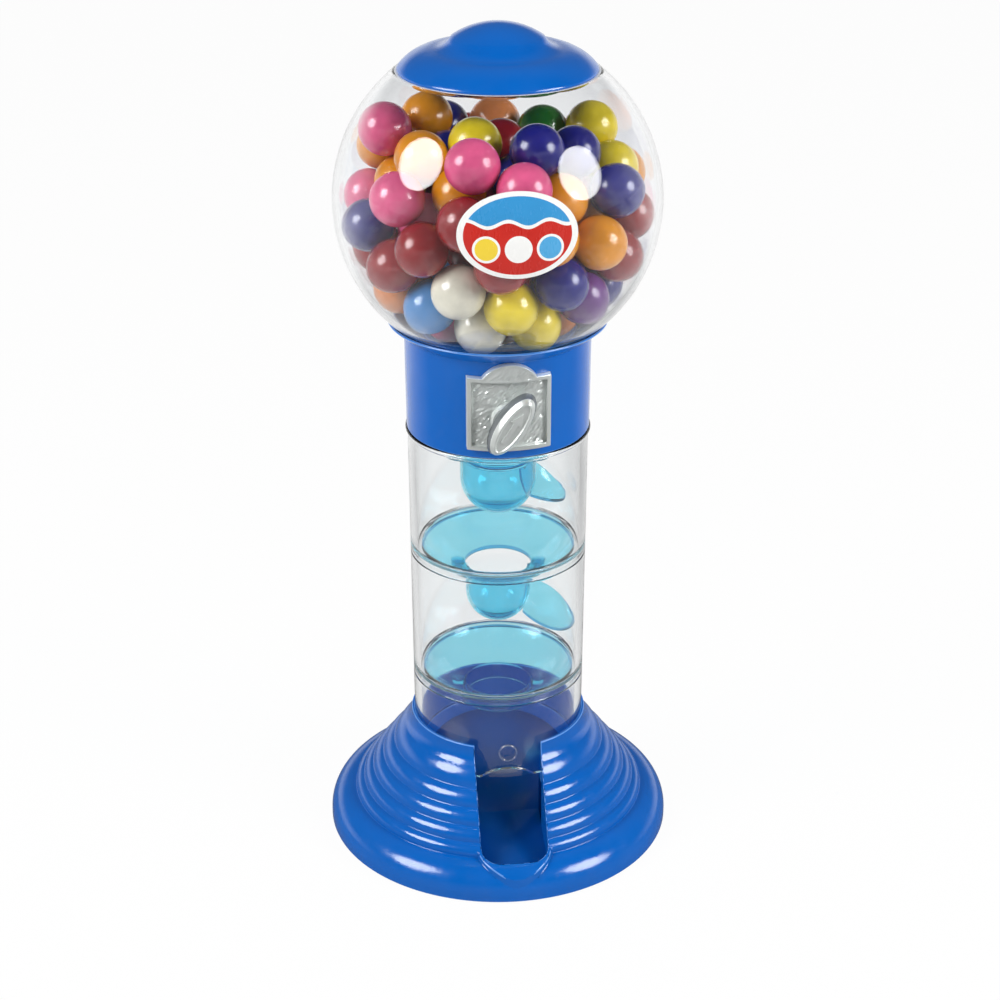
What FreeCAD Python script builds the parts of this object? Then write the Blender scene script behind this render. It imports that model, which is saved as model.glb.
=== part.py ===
import FreeCAD, Part
import Sketcher
import math
import os
import random
from types import SimpleNamespace

# Gumball machine: a clear globe on a blue collar, a clear tube with two spiral funnels, and a ribbed base.
# Millimetres, +Z up, origin on the floor at the middle of the base. The knob and the chute face -Y.

# Driving dimensions
SIZES = {
    "base_radius": 56.0,
    "base_height": 40.1,
    "base_wall": 2.0,
    "base_lip_radius": 28.5,
    "brim_edge": 2.4,
    "brim_bow": 2.4,
    "ridge_top_radius": 34.4,
    "ridge_top_height": 28.0,
    "ridge_foot_radius": 47.6,
    "ridge_foot_height": 10.7,
    "ridge_bow": 1.0,
    "ridge_crowding": 0.2,
    "shoulder_bow": 0.7,
    "sleeve_wall": 2.0,
    "ledge_width": 2.2,
    "ledge_thickness": 2.5,
    "cover_recess": 1.0,
    "cover_thickness": 2.0,
    "post_radius": 4.0,
    "post_circle": 39.0,
    "screw_radius": 1.5,
    "screw_length": 9.0,
    "screw_head_radius": 2.9,
    "screw_head_height": 0.7,
    "foot_radius": 5.5,
    "foot_inset": 2.5,
    "slot_half_width": 10.7,
    "slot_reach": 51.0,
    "slot_corner": 6.5,
    "slot_wall": 1.2,
    "lip_radius": 11.9,
    "lip_reach": 55.5,
    "lip_height": 11.3,
    "lip_rise": 2.4,
    "ramp_front_height": 5.0,
    "ramp_slope": 0.25,
    "ramp_thickness": 1.8,
    "ramp_rib": 1.6,
    "ramp_rib_spread": 7.0,
    "ramp_rib_back": 7.0,
    "slot_back": 19.3,
    "tube_seat": 28.0,
    "tube_foot_radius": 27.4,
    "tube_top_radius": 28.2,
    "tube_wall": 2.2,
    "lower_tube_length": 26.8,
    "middle_tube_length": 43.8,
    "upper_tube_length": 43.1,
    "joint_lap": 1.1,
    "spigot_height": 2.0,
    "collar_spigot": 4.0,
    "arch_height": 3.4,
    "arch_half_width": 8.4,
    "funnel_rim_radius": 24.2,
    "funnel_flange": 1.2,
    "funnel_wall": 1.2,
    "funnel_depth": 8.1,
    "funnel_bow": 1.8,
    "funnel_hole_radius": 10.5,
    "funnel_hole_edge": 1.3,
    "throat_length": 3.2,
    "cup_radius": 10.4,
    "cup_wall": 1.0,
    "cup_depth": 19.0,
    "cup_drop": 1.6,
    "cup_scoop": 10.2,
    "cup_rim_step": 0.4,
    "upper_wing_turn": 28.8,
    "lower_wing_turn": -6.8,
    "ear_turn": -6.8,
    "spout_length": 9.7,
    "wing_radius": 12.6,
    "wing_offset": 4.0,
    "wing_wall": 1.0,
    "wing_gap": 0.5,
    "ear_circle": 13.0,
    "ear_radius": 2.2,
    "ear_thickness": 1.6,
    "pin_radius": 0.9,
    "pin_head_radius": 1.5,
    "pin_head_height": 0.6,
    "collar_radius": 28.7,
    "collar_draft": 0.25,
    "collar_bore": 26.2,
    "shelf_height": 5.0,
    "shelf_thickness": 2.0,
    "shelf_width": 3.2,
    "flare_radius": 33.4,
    "flare_thickness": 0.7,
    "globe_height": 72.1,
    "globe_radius": 49.3,
    "globe_wall": 1.8,
    "neck_wall": 1.8,
    "neck_length": 6.0,
    "mouth_radius": 27.0,
    "lid_inset": 0.4,
    "lid_edge": 0.7,
    "lid_height": 13.7,
    "lid_brim_bow": 1.2,
    "lid_brim_radius": 16.8,
    "lid_brim_height": 6.5,
    "lid_hollow_bow": 0.3,
    "lid_dome_radius": 13.8,
    "lid_dome_height": 9.1,
    "lid_wall": 1.8,
    "lid_skirt": 1.6,
    "lid_gap": 0.4,
    "knob_height": 13.8,
    "drum_radius": 12.5,
    "drum_half_length": 11.2,
    "pocket_radius": 8.4,
    "pocket_depth": 16.4,
    "hub_radius": 5.0,
    "hub_length": 5.2,
    "journal_radius": 3.0,
    "journal_length": 3.6,
    "stem_radius": 3.0,
    "housing_half_width": 15.0,
    "housing_wall": 1.8,
    "housing_top": 14.5,
    "housing_ear_width": 10.0,
    "housing_ear_thickness": 3.0,
    "port_radius": 8.8,
    "floor_dish_radius": 100.0,
    "floor_edge": 0.9,
    "bush_radius": 5.0,
    "bush_flange": 6.4,
    "bush_flange_thickness": 1.2,
    "plate_half_width": 12.65,
    "plate_bottom": 3.4,
    "plate_height": 23.2,
    "plate_arch_half_width": 8.2,
    "plate_arch_height": 4.4,
    "plate_thickness": 2.2,
    "plate_border": 1.4,
    "plate_recess": 1.3,
    "boss_radius": 6.0,
    "boss_length": 2.0,
    "grip_length": 22.0,
    "grip_width": 10.2,
    "grip_thickness": 5.2,
    "grip_turn": 33.5,
    "grip_round": 1.4,
    "grip_rim": 1.3,
    "grip_recess": 0.5,
    "spout_flange": 13.5,
    "spout_flange_thickness": 1.5,
    "label_half_width": 17.0,
    "label_half_height": 12.3,
    "label_rise": 4.5,
    "label_thickness": 0.3,
    "gumball_radius": 7.9,
    "gumball_gap": 0.1,
    "gumball_level": 22.0,
    "cut_margin": 2.0,
    "ball_room": 0.5,
    "wing_rise": 1.6,
    "press_gap": 0.02,
    "fit_gap": 0.1,
    "loose_gap": 0.2,
    "running_gap": 0.05,
    "drum_gap": 0.3,
    "seat_gap": 0.15,
}

RIDGE_COUNT = 4
POST_ANGLES = (90, 210, 330)
FOOT_ANGLES = (45, 135, 225, 315)

# Gumball colours that show through the globe, seen from the front and above: for each colour the places
# to the right and up from the globe's middle, as shares of its radius.
VIEW_TURN = 6.8
VIEW_RISE = 25.4
FRONT_SHARE = -0.05
FRONT_COLOURS = {
    "orange": ((-0.42, 0.56), (-0.54, 0.48), (-0.63, 0.26), (-0.27, 0.08), (-0.75, -0.05), (0.49, -0.25)),
    "red": ((-0.17, 0.51), (0.04, 0.36), (0.29, 0.35), (0.84, -0.02), (0.78, -0.34), (-0.24, -0.2),
            (-0.63, -0.36), (-0.09, -0.54)),
    "green": ((0.23, 0.51), (0.75, 0.35)),
    "navy": ((0.49, 0.46), (-0.27, 0.37), (0.15, 0.15), (0.49, 0.18), (0.62, 0.01), (-0.88, 0.19),
             (-0.86, -0.16), (0.29, -0.57)),
    "yellow": ((0.63, 0.48), (-0.14, 0.26), (0.82, 0.13), (0.06, -0.73)),
    "pink": ((-0.73, 0.35), (-0.51, -0.11), (-0.05, -0.01)),
    "white": ((-0.83, 0.1), (-0.16, -0.69)),
    "peach": ((-0.78, -0.34), (-0.57, -0.63)),
    "sky": ((-0.36, -0.56),),
    "purple": ((0.61, -0.47), (0.45, -0.71)),
}
BACK_COLOURS = "orange red navy yellow green pink white orange red purple sky peach".split()


class Size:
    """A size from the sheet, or one worked out from such sizes: its formula and its amount."""

    def __init__(self, formula, amount):
        self.formula = formula
        self.amount = amount

    def __add__(self, other):
        other = as_size(other)
        return Size(f"({self.formula} + {other.formula})", self.amount + other.amount)

    def __sub__(self, other):
        other = as_size(other)
        return Size(f"({self.formula} - {other.formula})", self.amount - other.amount)

    def __mul__(self, other):
        other = as_size(other)
        return Size(f"({self.formula} * {other.formula})", self.amount * other.amount)

    def __truediv__(self, other):
        other = as_size(other)
        return Size(f"({self.formula} / {other.formula})", self.amount / other.amount)

    def __radd__(self, other):
        return as_size(other) + self

    def __rsub__(self, other):
        return as_size(other) - self

    def __rmul__(self, other):
        return as_size(other) * self

    def __neg__(self):
        return Size(f"(0 - {self.formula})", -self.amount)


def as_size(number):
    """A plain number taken as a size."""
    return number if isinstance(number, Size) else Size(repr(float(number)), float(number))


def root(size):
    """The square root of a size."""
    return Size(f"sqrt({size.formula})", math.sqrt(size.amount))


def leg(long_side, short_side):
    """The other leg of a right triangle, such as a ball's height at a given radius."""
    return root(long_side * long_side - short_side * short_side)


doc = FreeCAD.newDocument("gumball_machine")
sheet = doc.addObject("Spreadsheet::Sheet", "dims")
for row, (alias, amount) in enumerate(SIZES.items(), 1):
    sheet.set(f"A{row}", alias)
    sheet.set(f"B{row}", str(amount))
    sheet.setAlias(f"B{row}", alias)
doc.recompute()
d = SimpleNamespace(**{alias: Size(f"dims.{alias}", amount) for alias, amount in SIZES.items()})

ORIGIN = FreeCAD.Vector(0, 0, 0)
UP = FreeCAD.Vector(0, 0, 1)
TURN_TO = {
    "Z": FreeCAD.Rotation(),
    "X": FreeCAD.Rotation(FreeCAD.Vector(0, 1, 0), 90),
    "Y": FreeCAD.Rotation(FreeCAD.Vector(1, 0, 0), -90),
}
nodes = {}


def node(item, label):
    """Name an item as a sub-part of the machine."""
    item.Label = label
    nodes[label] = item
    return item


def bind(item, **sizes):
    """Tie properties of an item to sizes of the sheet."""
    for name, size in sizes.items():
        item.setExpression(name, as_size(size).formula)


def place(item, x=0, y=0, z=0):
    """Tie an item's position to sizes of the sheet."""
    for axis, size in zip("xyz", (x, y, z)):
        item.setExpression(f"Placement.Base.{axis}", as_size(size).formula)


def cylinder(name, radius, length, x=0, y=0, z=0, along="Z"):
    """A round bar that starts at x, y, z and runs along an axis."""
    bar = doc.addObject("Part::Cylinder", name)
    bar.Placement = FreeCAD.Placement(ORIGIN, TURN_TO[along])
    bind(bar, Radius=radius, Height=length)
    place(bar, x, y, z)
    return bar


def box(name, low, high):
    """A block between two corners."""
    block = doc.addObject("Part::Box", name)
    bind(block, Length=high[0] - low[0], Width=high[1] - low[1], Height=high[2] - low[2])
    place(block, *low)
    return block


def ball(name, radius, z):
    """A ball on the machine's axis."""
    sphere = doc.addObject("Part::Sphere", name)
    bind(sphere, Radius=radius)
    place(sphere, z=z)
    return sphere


def fuse(name, *items):
    joined = doc.addObject("Part::MultiFuse", name)
    joined.Shapes = list(items)
    joined.Refine = True
    return joined


def common(name, *items):
    shared = doc.addObject("Part::MultiCommon", name)
    shared.Shapes = list(items)
    return shared


def cut(name, base, *tools):
    rest = doc.addObject("Part::Cut", name)
    rest.Base = base
    rest.Tool = tools[0] if len(tools) == 1 else fuse(f"{name}_tools", *tools)
    rest.Refine = True
    return rest


def group(name, items):
    together = doc.addObject("Part::Compound", name)
    together.Links = list(items)
    return together


def arc_radius(p, q, bow):
    """Radius of an arc from p to q that stands off its chord by bow."""
    across = q[0] - p[0]
    along = q[1] - p[1]
    return (across * across + along * along) / (bow * 8.0) + bow / 2.0


def ball_bow(radius, p, q):
    """How far a side of the given radius stands off the chord from p to q."""
    across = q[0] - p[0]
    along = q[1] - p[1]
    return radius - root(radius * radius - (across * across + along * along) / 4.0)


def arc_edge(p, q, radius, outward):
    """An arc from p to q, and which of its ends is p. Outward arcs bulge to the right of the way."""
    px, py = p[0].amount, p[1].amount
    qx, qy = q[0].amount, q[1].amount
    chord = math.hypot(qx - px, qy - py)
    depth = math.sqrt(max(radius.amount ** 2 - chord ** 2 / 4, 0.0))
    side = 1.0 if outward else -1.0
    centre_x = (px + qx) / 2 - side * depth * (qy - py) / chord
    centre_y = (py + qy) / 2 + side * depth * (qx - px) / chord
    first, last = ((px, py), (qx, qy)) if outward else ((qx, qy), (px, py))
    start = math.atan2(first[1] - centre_y, first[0] - centre_x)
    end = math.atan2(last[1] - centre_y, last[0] - centre_x)
    if end <= start:
        end += 2 * math.pi
    circle = Part.Circle(FreeCAD.Vector(centre_x, centre_y, 0), UP, radius.amount)
    return Part.ArcOfCircle(circle, start, end), (1 if outward else 2)


def outline(body, plane, corners, lift=0):
    """A closed sketch through corners, taken anticlockwise. A corner's third entry bows its next side."""
    sketch = body.newObject("Sketcher::SketchObject", f"{body.Name}_outline")
    support = [item for item in body.Origin.OriginFeatures if item.Role == plane][0]
    sketch.AttachmentSupport = [(support, "")]
    sketch.MapMode = "FlatFace"
    sketch.setExpression("AttachmentOffset.Base.z", as_size(lift).formula)
    points = [(as_size(corner[0]), as_size(corner[1])) for corner in corners]
    heads = []
    for index, corner in enumerate(corners):
        p = points[index]
        q = points[(index + 1) % len(points)]
        if len(corner) == 3:
            bow = as_size(corner[2])
            outward = bow.amount > 0
            radius = arc_radius(p, q, bow if outward else -bow)
            edge, head = arc_edge(p, q, radius, outward)
            side = sketch.addGeometry(edge, False)
            limit = sketch.addConstraint(Sketcher.Constraint("Radius", side, radius.amount))
            sketch.setExpression(f"Constraints[{limit}]", radius.formula)
        else:
            ends = [FreeCAD.Vector(x.amount, y.amount, 0) for x, y in (p, q)]
            side = sketch.addGeometry(Part.LineSegment(*ends), False)
            head = 1
        heads.append((side, head))
    for index, (side, head) in enumerate(heads):
        next_side, next_head = heads[(index + 1) % len(heads)]
        sketch.addConstraint(Sketcher.Constraint("Coincident", side, 3 - head, next_side, next_head))
        for kind, size in zip(("DistanceX", "DistanceY"), points[index]):
            if size.amount == 0:
                axis = -2 if kind == "DistanceX" else -1
                sketch.addConstraint(Sketcher.Constraint("PointOnObject", side, head, axis))
                continue
            limit = sketch.addConstraint(Sketcher.Constraint(kind, -1, 1, side, head, size.amount))
            sketch.setExpression(f"Constraints[{limit}]", size.formula)
    return sketch


def turned(name, corners):
    """A piece turned about the machine's axis, from corners of radius and height."""
    body = doc.addObject("PartDesign::Body", name)
    sketch = outline(body, "XZ_Plane", corners)
    turn = body.newObject("PartDesign::Revolution", f"{name}_turn")
    turn.Profile = sketch
    turn.ReferenceAxis = (sketch, ["V_Axis"])
    turn.Angle = 360
    return body


def padded(name, plane, corners, length, lift=0):
    """A piece of constant section, from corners in a plane, starting at lift and running for length."""
    body = doc.addObject("PartDesign::Body", name)
    sketch = outline(body, plane, corners, lift)
    pad = body.newObject("PartDesign::Pad", f"{name}_pad")
    pad.Profile = sketch
    bind(pad, Length=length)
    return body


def ring(name, inner, outer, low, high):
    """A plain ring about the machine's axis."""
    return turned(name, [(inner, low), (outer, low), (outer, high), (inner, high)])


def round_places(circle, angles):
    """Positions round a circle."""
    return [(circle * math.cos(math.radians(a)), circle * math.sin(math.radians(a))) for a in angles]


# Heights that the pieces share
seat = d.tube_seat
joint_low = seat + d.lower_tube_length
joint_high = joint_low + d.middle_tube_length
collar_z = joint_high + d.upper_tube_length
axis_z = collar_z + d.knob_height
globe_z = collar_z + d.globe_height
cover_top = d.cover_recess + d.cover_thickness


# Base shell: ribbed cone with a brim, a socket for the tube, screw posts and the chute's slot
def base_profile():
    """The base's outside, from the brim's lower edge up to the lip round the tube."""
    corners = [(d.base_radius, 0), (d.base_radius, d.brim_edge, d.brim_bow)]
    for index in range(RIDGE_COUNT, 0, -1):
        corners.append(ridge_foot(index) + (d.ridge_bow,))
    shoulder_radius = d.base_lip_radius * 0.63 + d.ridge_top_radius * 0.37
    shoulder = (shoulder_radius, (d.base_height + d.ridge_top_height) / 2)
    corners.append(ridge_foot(0) + (d.shoulder_bow,))
    corners.append(shoulder + (-d.shoulder_bow,))
    corners.append((d.base_lip_radius, d.base_height))
    return corners


def ridge_foot(index):
    """The groove below a ridge: ridges draw together towards the brim."""
    share = index / RIDGE_COUNT
    eased = (1 + d.ridge_crowding * (1 - share)) * share
    radius = d.ridge_top_radius + (d.ridge_foot_radius - d.ridge_top_radius) * eased
    height = d.ridge_top_height + (d.ridge_foot_height - d.ridge_top_height) * eased
    return (radius, height)


def slot_outline(half_width, reach, corner, back):
    """The chute's slot from above: straight sides and a rounded front."""
    bow = corner * (1 - math.sqrt(0.5))
    return [
        (-half_width, -back),
        (-half_width, corner - reach, bow),
        (corner - half_width, -reach),
        (half_width - corner, -reach, bow),
        (half_width, corner - reach),
        (half_width, -back),
    ]


socket_radius = d.tube_foot_radius + d.fit_gap
ledge_radius = socket_radius - d.ledge_width
sleeve_radius = socket_radius + d.sleeve_wall
ledge_low = seat - d.ledge_thickness
wall_back = sleeve_radius - 1.0
inner_top = (d.ridge_top_radius - d.base_wall * 0.8, d.ridge_top_height - d.base_wall * 0.6)
inner_foot = (d.ridge_foot_radius - d.base_wall * 0.8, d.ridge_foot_height - d.base_wall * 0.6)
inner_edge = d.base_radius - d.base_wall

shell_form = turned("shell_form", base_profile() + [
    (socket_radius, d.base_height),
    (socket_radius, seat),
    (ledge_radius, seat),
    (ledge_radius, ledge_low),
    (sleeve_radius, ledge_low),
    (sleeve_radius, seat + 1.5),
    inner_top,
    inner_foot + (-(d.brim_bow * 0.8),),
    (inner_edge, d.brim_edge),
    (inner_edge, 0),
])
base_solid = turned("base_solid", [(0, cover_top), (inner_edge, cover_top)] + base_profile()[1:] + [
    (socket_radius + d.sleeve_wall / 4, d.base_height),
    (socket_radius + d.sleeve_wall / 4, ledge_low),
    (0, ledge_low),
])
slot_depth = d.base_height + d.cut_margin * 2
slot = padded(
    "slot", "XY_Plane", slot_outline(d.slot_half_width, d.slot_reach, d.slot_corner, d.slot_back),
    slot_depth, -d.cut_margin
)
wall_half_width = d.slot_half_width + d.slot_wall
wall_corner = d.slot_corner + d.slot_wall
slot_wall = padded(
    "slot_wall", "XY_Plane",
    slot_outline(wall_half_width, d.slot_reach + d.slot_wall, wall_corner, wall_back), slot_depth, cover_top
)
posts = [
    cylinder(f"post_{angle}", d.post_radius, d.base_height, x, y, cover_top)
    for angle, (x, y) in zip(POST_ANGLES, round_places(d.post_circle, POST_ANGLES))
]
post_holes = [
    cylinder(f"post_hole_{angle}", d.screw_radius + d.running_gap, d.screw_length, x, y, d.cover_recess)
    for angle, (x, y) in zip(POST_ANGLES, round_places(d.post_circle, POST_ANGLES))
]
lip_centre = d.lip_reach - d.lip_radius
lip_form = turned("lip_form", [
    (lip_centre - 1.0, d.lip_height - 4.5),
    (d.base_radius - 2.0, d.brim_edge + 0.4),
    (d.base_radius - 0.2, d.brim_edge + 2.0, d.brim_bow * 0.7),
    (d.slot_reach, d.lip_height, 0.2),
    (lip_centre - 1.0, d.lip_height + d.lip_rise),
])
lip_plan = cylinder("lip_plan", d.lip_radius, slot_depth, y=-lip_centre)
lip_plan.Placement.Rotation = FreeCAD.Rotation(UP, 180)
lip_plan.Angle = 180
inner_works = common("inner_works", fuse("walls_and_posts", slot_wall, *posts), base_solid)
base_whole = fuse("base_whole", shell_form, inner_works, common("lip", lip_form, lip_plan))
node(cut("base_shell", base_whole, slot, *post_holes), "base_shell")

# Base cover, its screws and the feet below it
cover_radius = inner_edge - d.loose_gap
cover_holes = [
    cylinder(f"cover_hole_{angle}", d.screw_radius + d.running_gap, d.cover_thickness + 2,
             x, y, d.cover_recess - 1)
    for angle, (x, y) in zip(POST_ANGLES, round_places(d.post_circle, POST_ANGLES))
]
cover_disc = cylinder("cover_disc", cover_radius, d.cover_thickness, z=d.cover_recess)
node(cut("base_cover", cover_disc, *cover_holes), "base_cover")
screws = []
for angle, (x, y) in zip(POST_ANGLES, round_places(d.post_circle, POST_ANGLES)):
    shank = cylinder(f"screw_shank_{angle}", d.screw_radius, d.screw_length - 0.5, x, y, d.cover_recess - 0.2)
    head_z = d.cover_recess - d.screw_head_height
    head = cylinder(f"screw_head_{angle}", d.screw_head_radius, d.screw_head_height, x, y, head_z)
    screws.append(fuse(f"screw_{angle}", shank, head))
node(group("cover_screws", screws), "cover_screws")
foot_circle = inner_edge - d.foot_inset - d.foot_radius
feet = [
    cylinder(f"foot_{angle}", d.foot_radius, d.cover_recess, x, y, 0)
    for angle, (x, y) in zip(FOOT_ANGLES, round_places(foot_circle, FOOT_ANGLES))
]
node(group("feet", feet), "feet")

# Chute ramp: a sloping floor below the tube that runs out through the slot, on two ribs
ramp_front = d.slot_reach - d.loose_gap
ramp_radius = ledge_radius - d.loose_gap * 2


def ramp_height(back):
    """Height of the ramp's upper face at a distance back from its front end."""
    return d.ramp_front_height + d.ramp_slope * back


ramp_length = ramp_front + ramp_radius
ramp_half_width = ramp_radius + 1.0
ramp_slab = padded("ramp_slab", "YZ_Plane", [
    (-ramp_front, ramp_height(0) - d.ramp_thickness),
    (ramp_radius, ramp_height(ramp_length) - d.ramp_thickness),
    (ramp_radius, ramp_height(ramp_length)),
    (-ramp_front, ramp_height(0)),
], ramp_half_width * 2, -ramp_half_width)
ramp_slot = padded(
    "ramp_slot", "XY_Plane",
    slot_outline(d.slot_half_width - d.loose_gap, ramp_front, d.slot_corner - d.loose_gap, 1.0), d.base_height
)
ramp_round = cylinder("ramp_round", ramp_radius, d.base_height)
ramp_floor = common("ramp_floor", ramp_slab, fuse("ramp_plan", ramp_slot, ramp_round))
rib_start = d.slot_corner
rib_end = ramp_length - d.ramp_rib_back
ribs = []
for name, side in (("left", -1.0), ("right", 1.0)):
    ribs.append(padded(f"ramp_rib_{name}", "YZ_Plane", [
        (rib_start - ramp_front, cover_top),
        (rib_end - ramp_front, cover_top),
        (rib_end - ramp_front, ramp_height(rib_end) - d.ramp_thickness / 2),
        (rib_start - ramp_front, ramp_height(rib_start) - d.ramp_thickness / 2),
    ], d.ramp_rib, d.ramp_rib_spread * side - d.ramp_rib / 2))
node(fuse("chute_ramp", ramp_floor, *ribs), "chute_ramp")


# Clear tube in three lengths, each lapped over the one below
def tube_outer(z):
    return d.tube_foot_radius + (d.tube_top_radius - d.tube_foot_radius) * (z - seat) / (collar_z - seat)


def tube_bore(z):
    return tube_outer(z) - d.tube_wall


def spigot_radius(z):
    return tube_outer(z) - d.joint_lap


def tube_length(name, low, high, spigot, socket):
    """One length of the tube: a spigot on top, and a socket below that takes the next one's spigot."""
    corners = [(tube_outer(low), low), (tube_outer(high), high), (spigot_radius(high), high)]
    corners += [(spigot_radius(high), high + spigot), (tube_bore(high), high + spigot)]
    if socket:
        shoulder = low + d.spigot_height + d.funnel_flange
        mouth = spigot_radius(low) + d.fit_gap
        corners += [(tube_bore(low), shoulder), (mouth, shoulder), (mouth, low)]
    else:
        corners += [(tube_bore(low), low)]
    return turned(name, corners)


plain_lower_tube = tube_length("plain_lower_tube", seat, joint_low, d.spigot_height, False)
arch_radius = (d.arch_half_width * d.arch_half_width + d.arch_height * d.arch_height) / (d.arch_height * 2)
arch = cylinder(
    "arch", arch_radius, d.base_radius, y=-d.base_radius, z=seat + d.arch_height - arch_radius, along="Y"
)
node(cut("lower_tube", plain_lower_tube, arch), "lower_tube")
node(tube_length("middle_tube", joint_low, joint_high, d.spigot_height, True), "middle_tube")
node(tube_length("upper_tube", joint_high, collar_z, d.collar_spigot, True), "upper_tube")

# Funnels and the cups below them
cup_inner = d.cup_radius - d.cup_wall
throat_outer = cup_inner - d.fit_gap
throat_inner = throat_outer - d.cup_wall


def ear_places():
    """Where the two ears of each cup lie."""
    return round_places(d.ear_circle, (d.ear_turn.amount, d.ear_turn.amount + 180))


def ear_webs(name, inner, thickness, z):
    """Webs that tie two ears to the round wall between them."""
    webs = []
    half_width = d.ear_radius * 0.7
    for index, turn in enumerate((d.ear_turn.amount, d.ear_turn.amount + 180)):
        along = (math.cos(math.radians(turn)), math.sin(math.radians(turn)))
        web = doc.addObject("Part::Box", f"{name}_{index}")
        web.Placement = FreeCAD.Placement(ORIGIN, FreeCAD.Rotation(UP, turn))
        bind(web, Length=d.ear_circle - inner, Width=half_width * 2, Height=thickness)
        x = inner * along[0] + half_width * along[1]
        y = inner * along[1] - half_width * along[0]
        place(web, x, y, z)
        webs.append(web)
    return webs


def funnel(label, joint):
    """A dished funnel: a flange between two tube lengths, a hole, and two bosses for a cup's ears."""
    under = joint + d.spigot_height
    top = under + d.funnel_flange
    hole_z = top - d.funnel_depth
    rim_z = hole_z - d.cup_drop
    dish = turned(f"{label}_dish", [
        (spigot_radius(joint), under),
        (spigot_radius(joint), top),
        (d.funnel_rim_radius, top, -d.funnel_bow),
        (d.funnel_hole_radius, hole_z),
        (d.funnel_hole_radius, hole_z - d.funnel_hole_edge, d.funnel_bow),
        (d.funnel_rim_radius + d.funnel_wall / 4, under),
    ])
    bosses = []
    holes = []
    for index, (x, y) in enumerate(ear_places()):
        bosses.append(cylinder(f"{label}_boss_{index}", d.ear_radius, d.cup_drop, x, y, rim_z))
        holes.append(cylinder(f"{label}_boss_hole_{index}", d.pin_radius + d.press_gap, d.cup_drop * 0.7,
                              x, y, rim_z))
    return cut(label, fuse(f"{label}_whole", dish, *bosses), *holes), rim_z


def cup(label, rim_z, turn):
    """A round-bottomed scoop, low at the back, with a leaf-shaped wing that leads the gumball out."""
    middle = d.cup_radius - d.cup_depth
    quarter = 1 - math.sqrt(0.5)
    bottom = (0, -d.cup_depth)
    side = (d.cup_radius, middle)
    inner_side = (cup_inner, middle)
    inner_bottom = (0, d.cup_wall - d.cup_depth)
    bowl = turned(f"{label}_bowl", [
        bottom + (d.cup_radius * quarter,),
        side,
        (d.cup_radius, -d.ear_thickness),
        (d.cup_radius + d.cup_rim_step, -d.ear_thickness),
        (d.cup_radius + d.cup_rim_step, 0),
        (cup_inner, 0),
        inner_side + (-(cup_inner * quarter),),
        inner_bottom,
    ])
    inside = turned(f"{label}_inside", [
        inner_bottom + (cup_inner * quarter,),
        inner_side,
        (cup_inner, d.cut_margin),
        (0, d.cut_margin),
    ])
    reach = tube_bore(joint_low) - d.wing_gap
    wing_low = d.wing_rise - d.cup_depth
    wing_axis = wing_low + d.wing_radius
    wing_root = d.cup_radius * 0.45
    trough = cut(
        f"{label}_trough",
        cylinder(f"{label}_trough_out", d.wing_radius + d.wing_wall, reach, 0, -d.wing_offset, wing_axis, "X"),
        cylinder(f"{label}_trough_in", d.wing_radius, reach, 0, -d.wing_offset, wing_axis, "X"),
    )
    leaf = padded(f"{label}_leaf", "XY_Plane", [
        (wing_root, -(d.cup_radius * 0.55), d.cup_radius * 0.3),
        (leg(reach, d.wing_offset), -d.wing_offset, d.cup_radius * 0.46),
        (wing_root, d.cup_radius * 0.8),
    ], d.wing_radius + d.cup_wall * 2, wing_low - d.cup_wall * 2)
    wing = cut(f"{label}_wing", common(f"{label}_blade", trough, leaf), inside)
    past_side = d.cup_radius + d.cut_margin
    window = cylinder(f"{label}_window", d.gumball_radius + d.ball_room, past_side, 0, 0, middle, "X")
    open_bowl = cut(f"{label}_open_bowl", bowl, window)
    for item in (open_bowl, wing):
        item.Placement.Rotation = FreeCAD.Rotation(UP, turn.amount)
        place(item, z=rim_z)
    low_back = padded(f"{label}_low_back", "XY_Plane", [
        (-past_side, d.ear_radius),
        (past_side, d.ear_radius),
        (past_side, past_side),
        (-past_side, past_side),
    ], d.cup_scoop + d.cut_margin, -d.cup_scoop)
    low_back.Placement.Rotation = FreeCAD.Rotation(UP, d.ear_turn.amount)
    place(low_back, z=rim_z)
    ears = []
    holes = []
    for index, (x, y) in enumerate(ear_places()):
        low = rim_z - d.ear_thickness
        ears.append(cylinder(f"{label}_ear_{index}", d.ear_radius, d.ear_thickness, x, y, low))
        holes.append(cylinder(f"{label}_ear_hole_{index}", d.pin_radius + d.press_gap,
                              d.ear_thickness + d.cut_margin * 2, x, y, low - d.cut_margin))
    webs = ear_webs(f"{label}_web", cup_inner + d.cup_wall / 2, d.ear_thickness, rim_z - d.ear_thickness)
    scooped = cut(f"{label}_scooped", open_bowl, low_back)
    return cut(label, fuse(f"{label}_whole", scooped, wing, *webs, *ears), *holes)


def cup_pins(label, rim_z):
    """Pins that hold a cup's ears to the bosses above."""
    pins = []
    for index, (x, y) in enumerate(ear_places()):
        low = rim_z - d.ear_thickness
        shank = cylinder(f"{label}_shank_{index}", d.pin_radius, d.ear_thickness + d.cup_drop * 0.6, x, y, low)
        head_z = low - d.pin_head_height
        head = cylinder(f"{label}_head_{index}", d.pin_head_radius, d.pin_head_height, x, y, head_z)
        pins.append(fuse(f"{label}_{index}", shank, head))
    return pins


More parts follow.
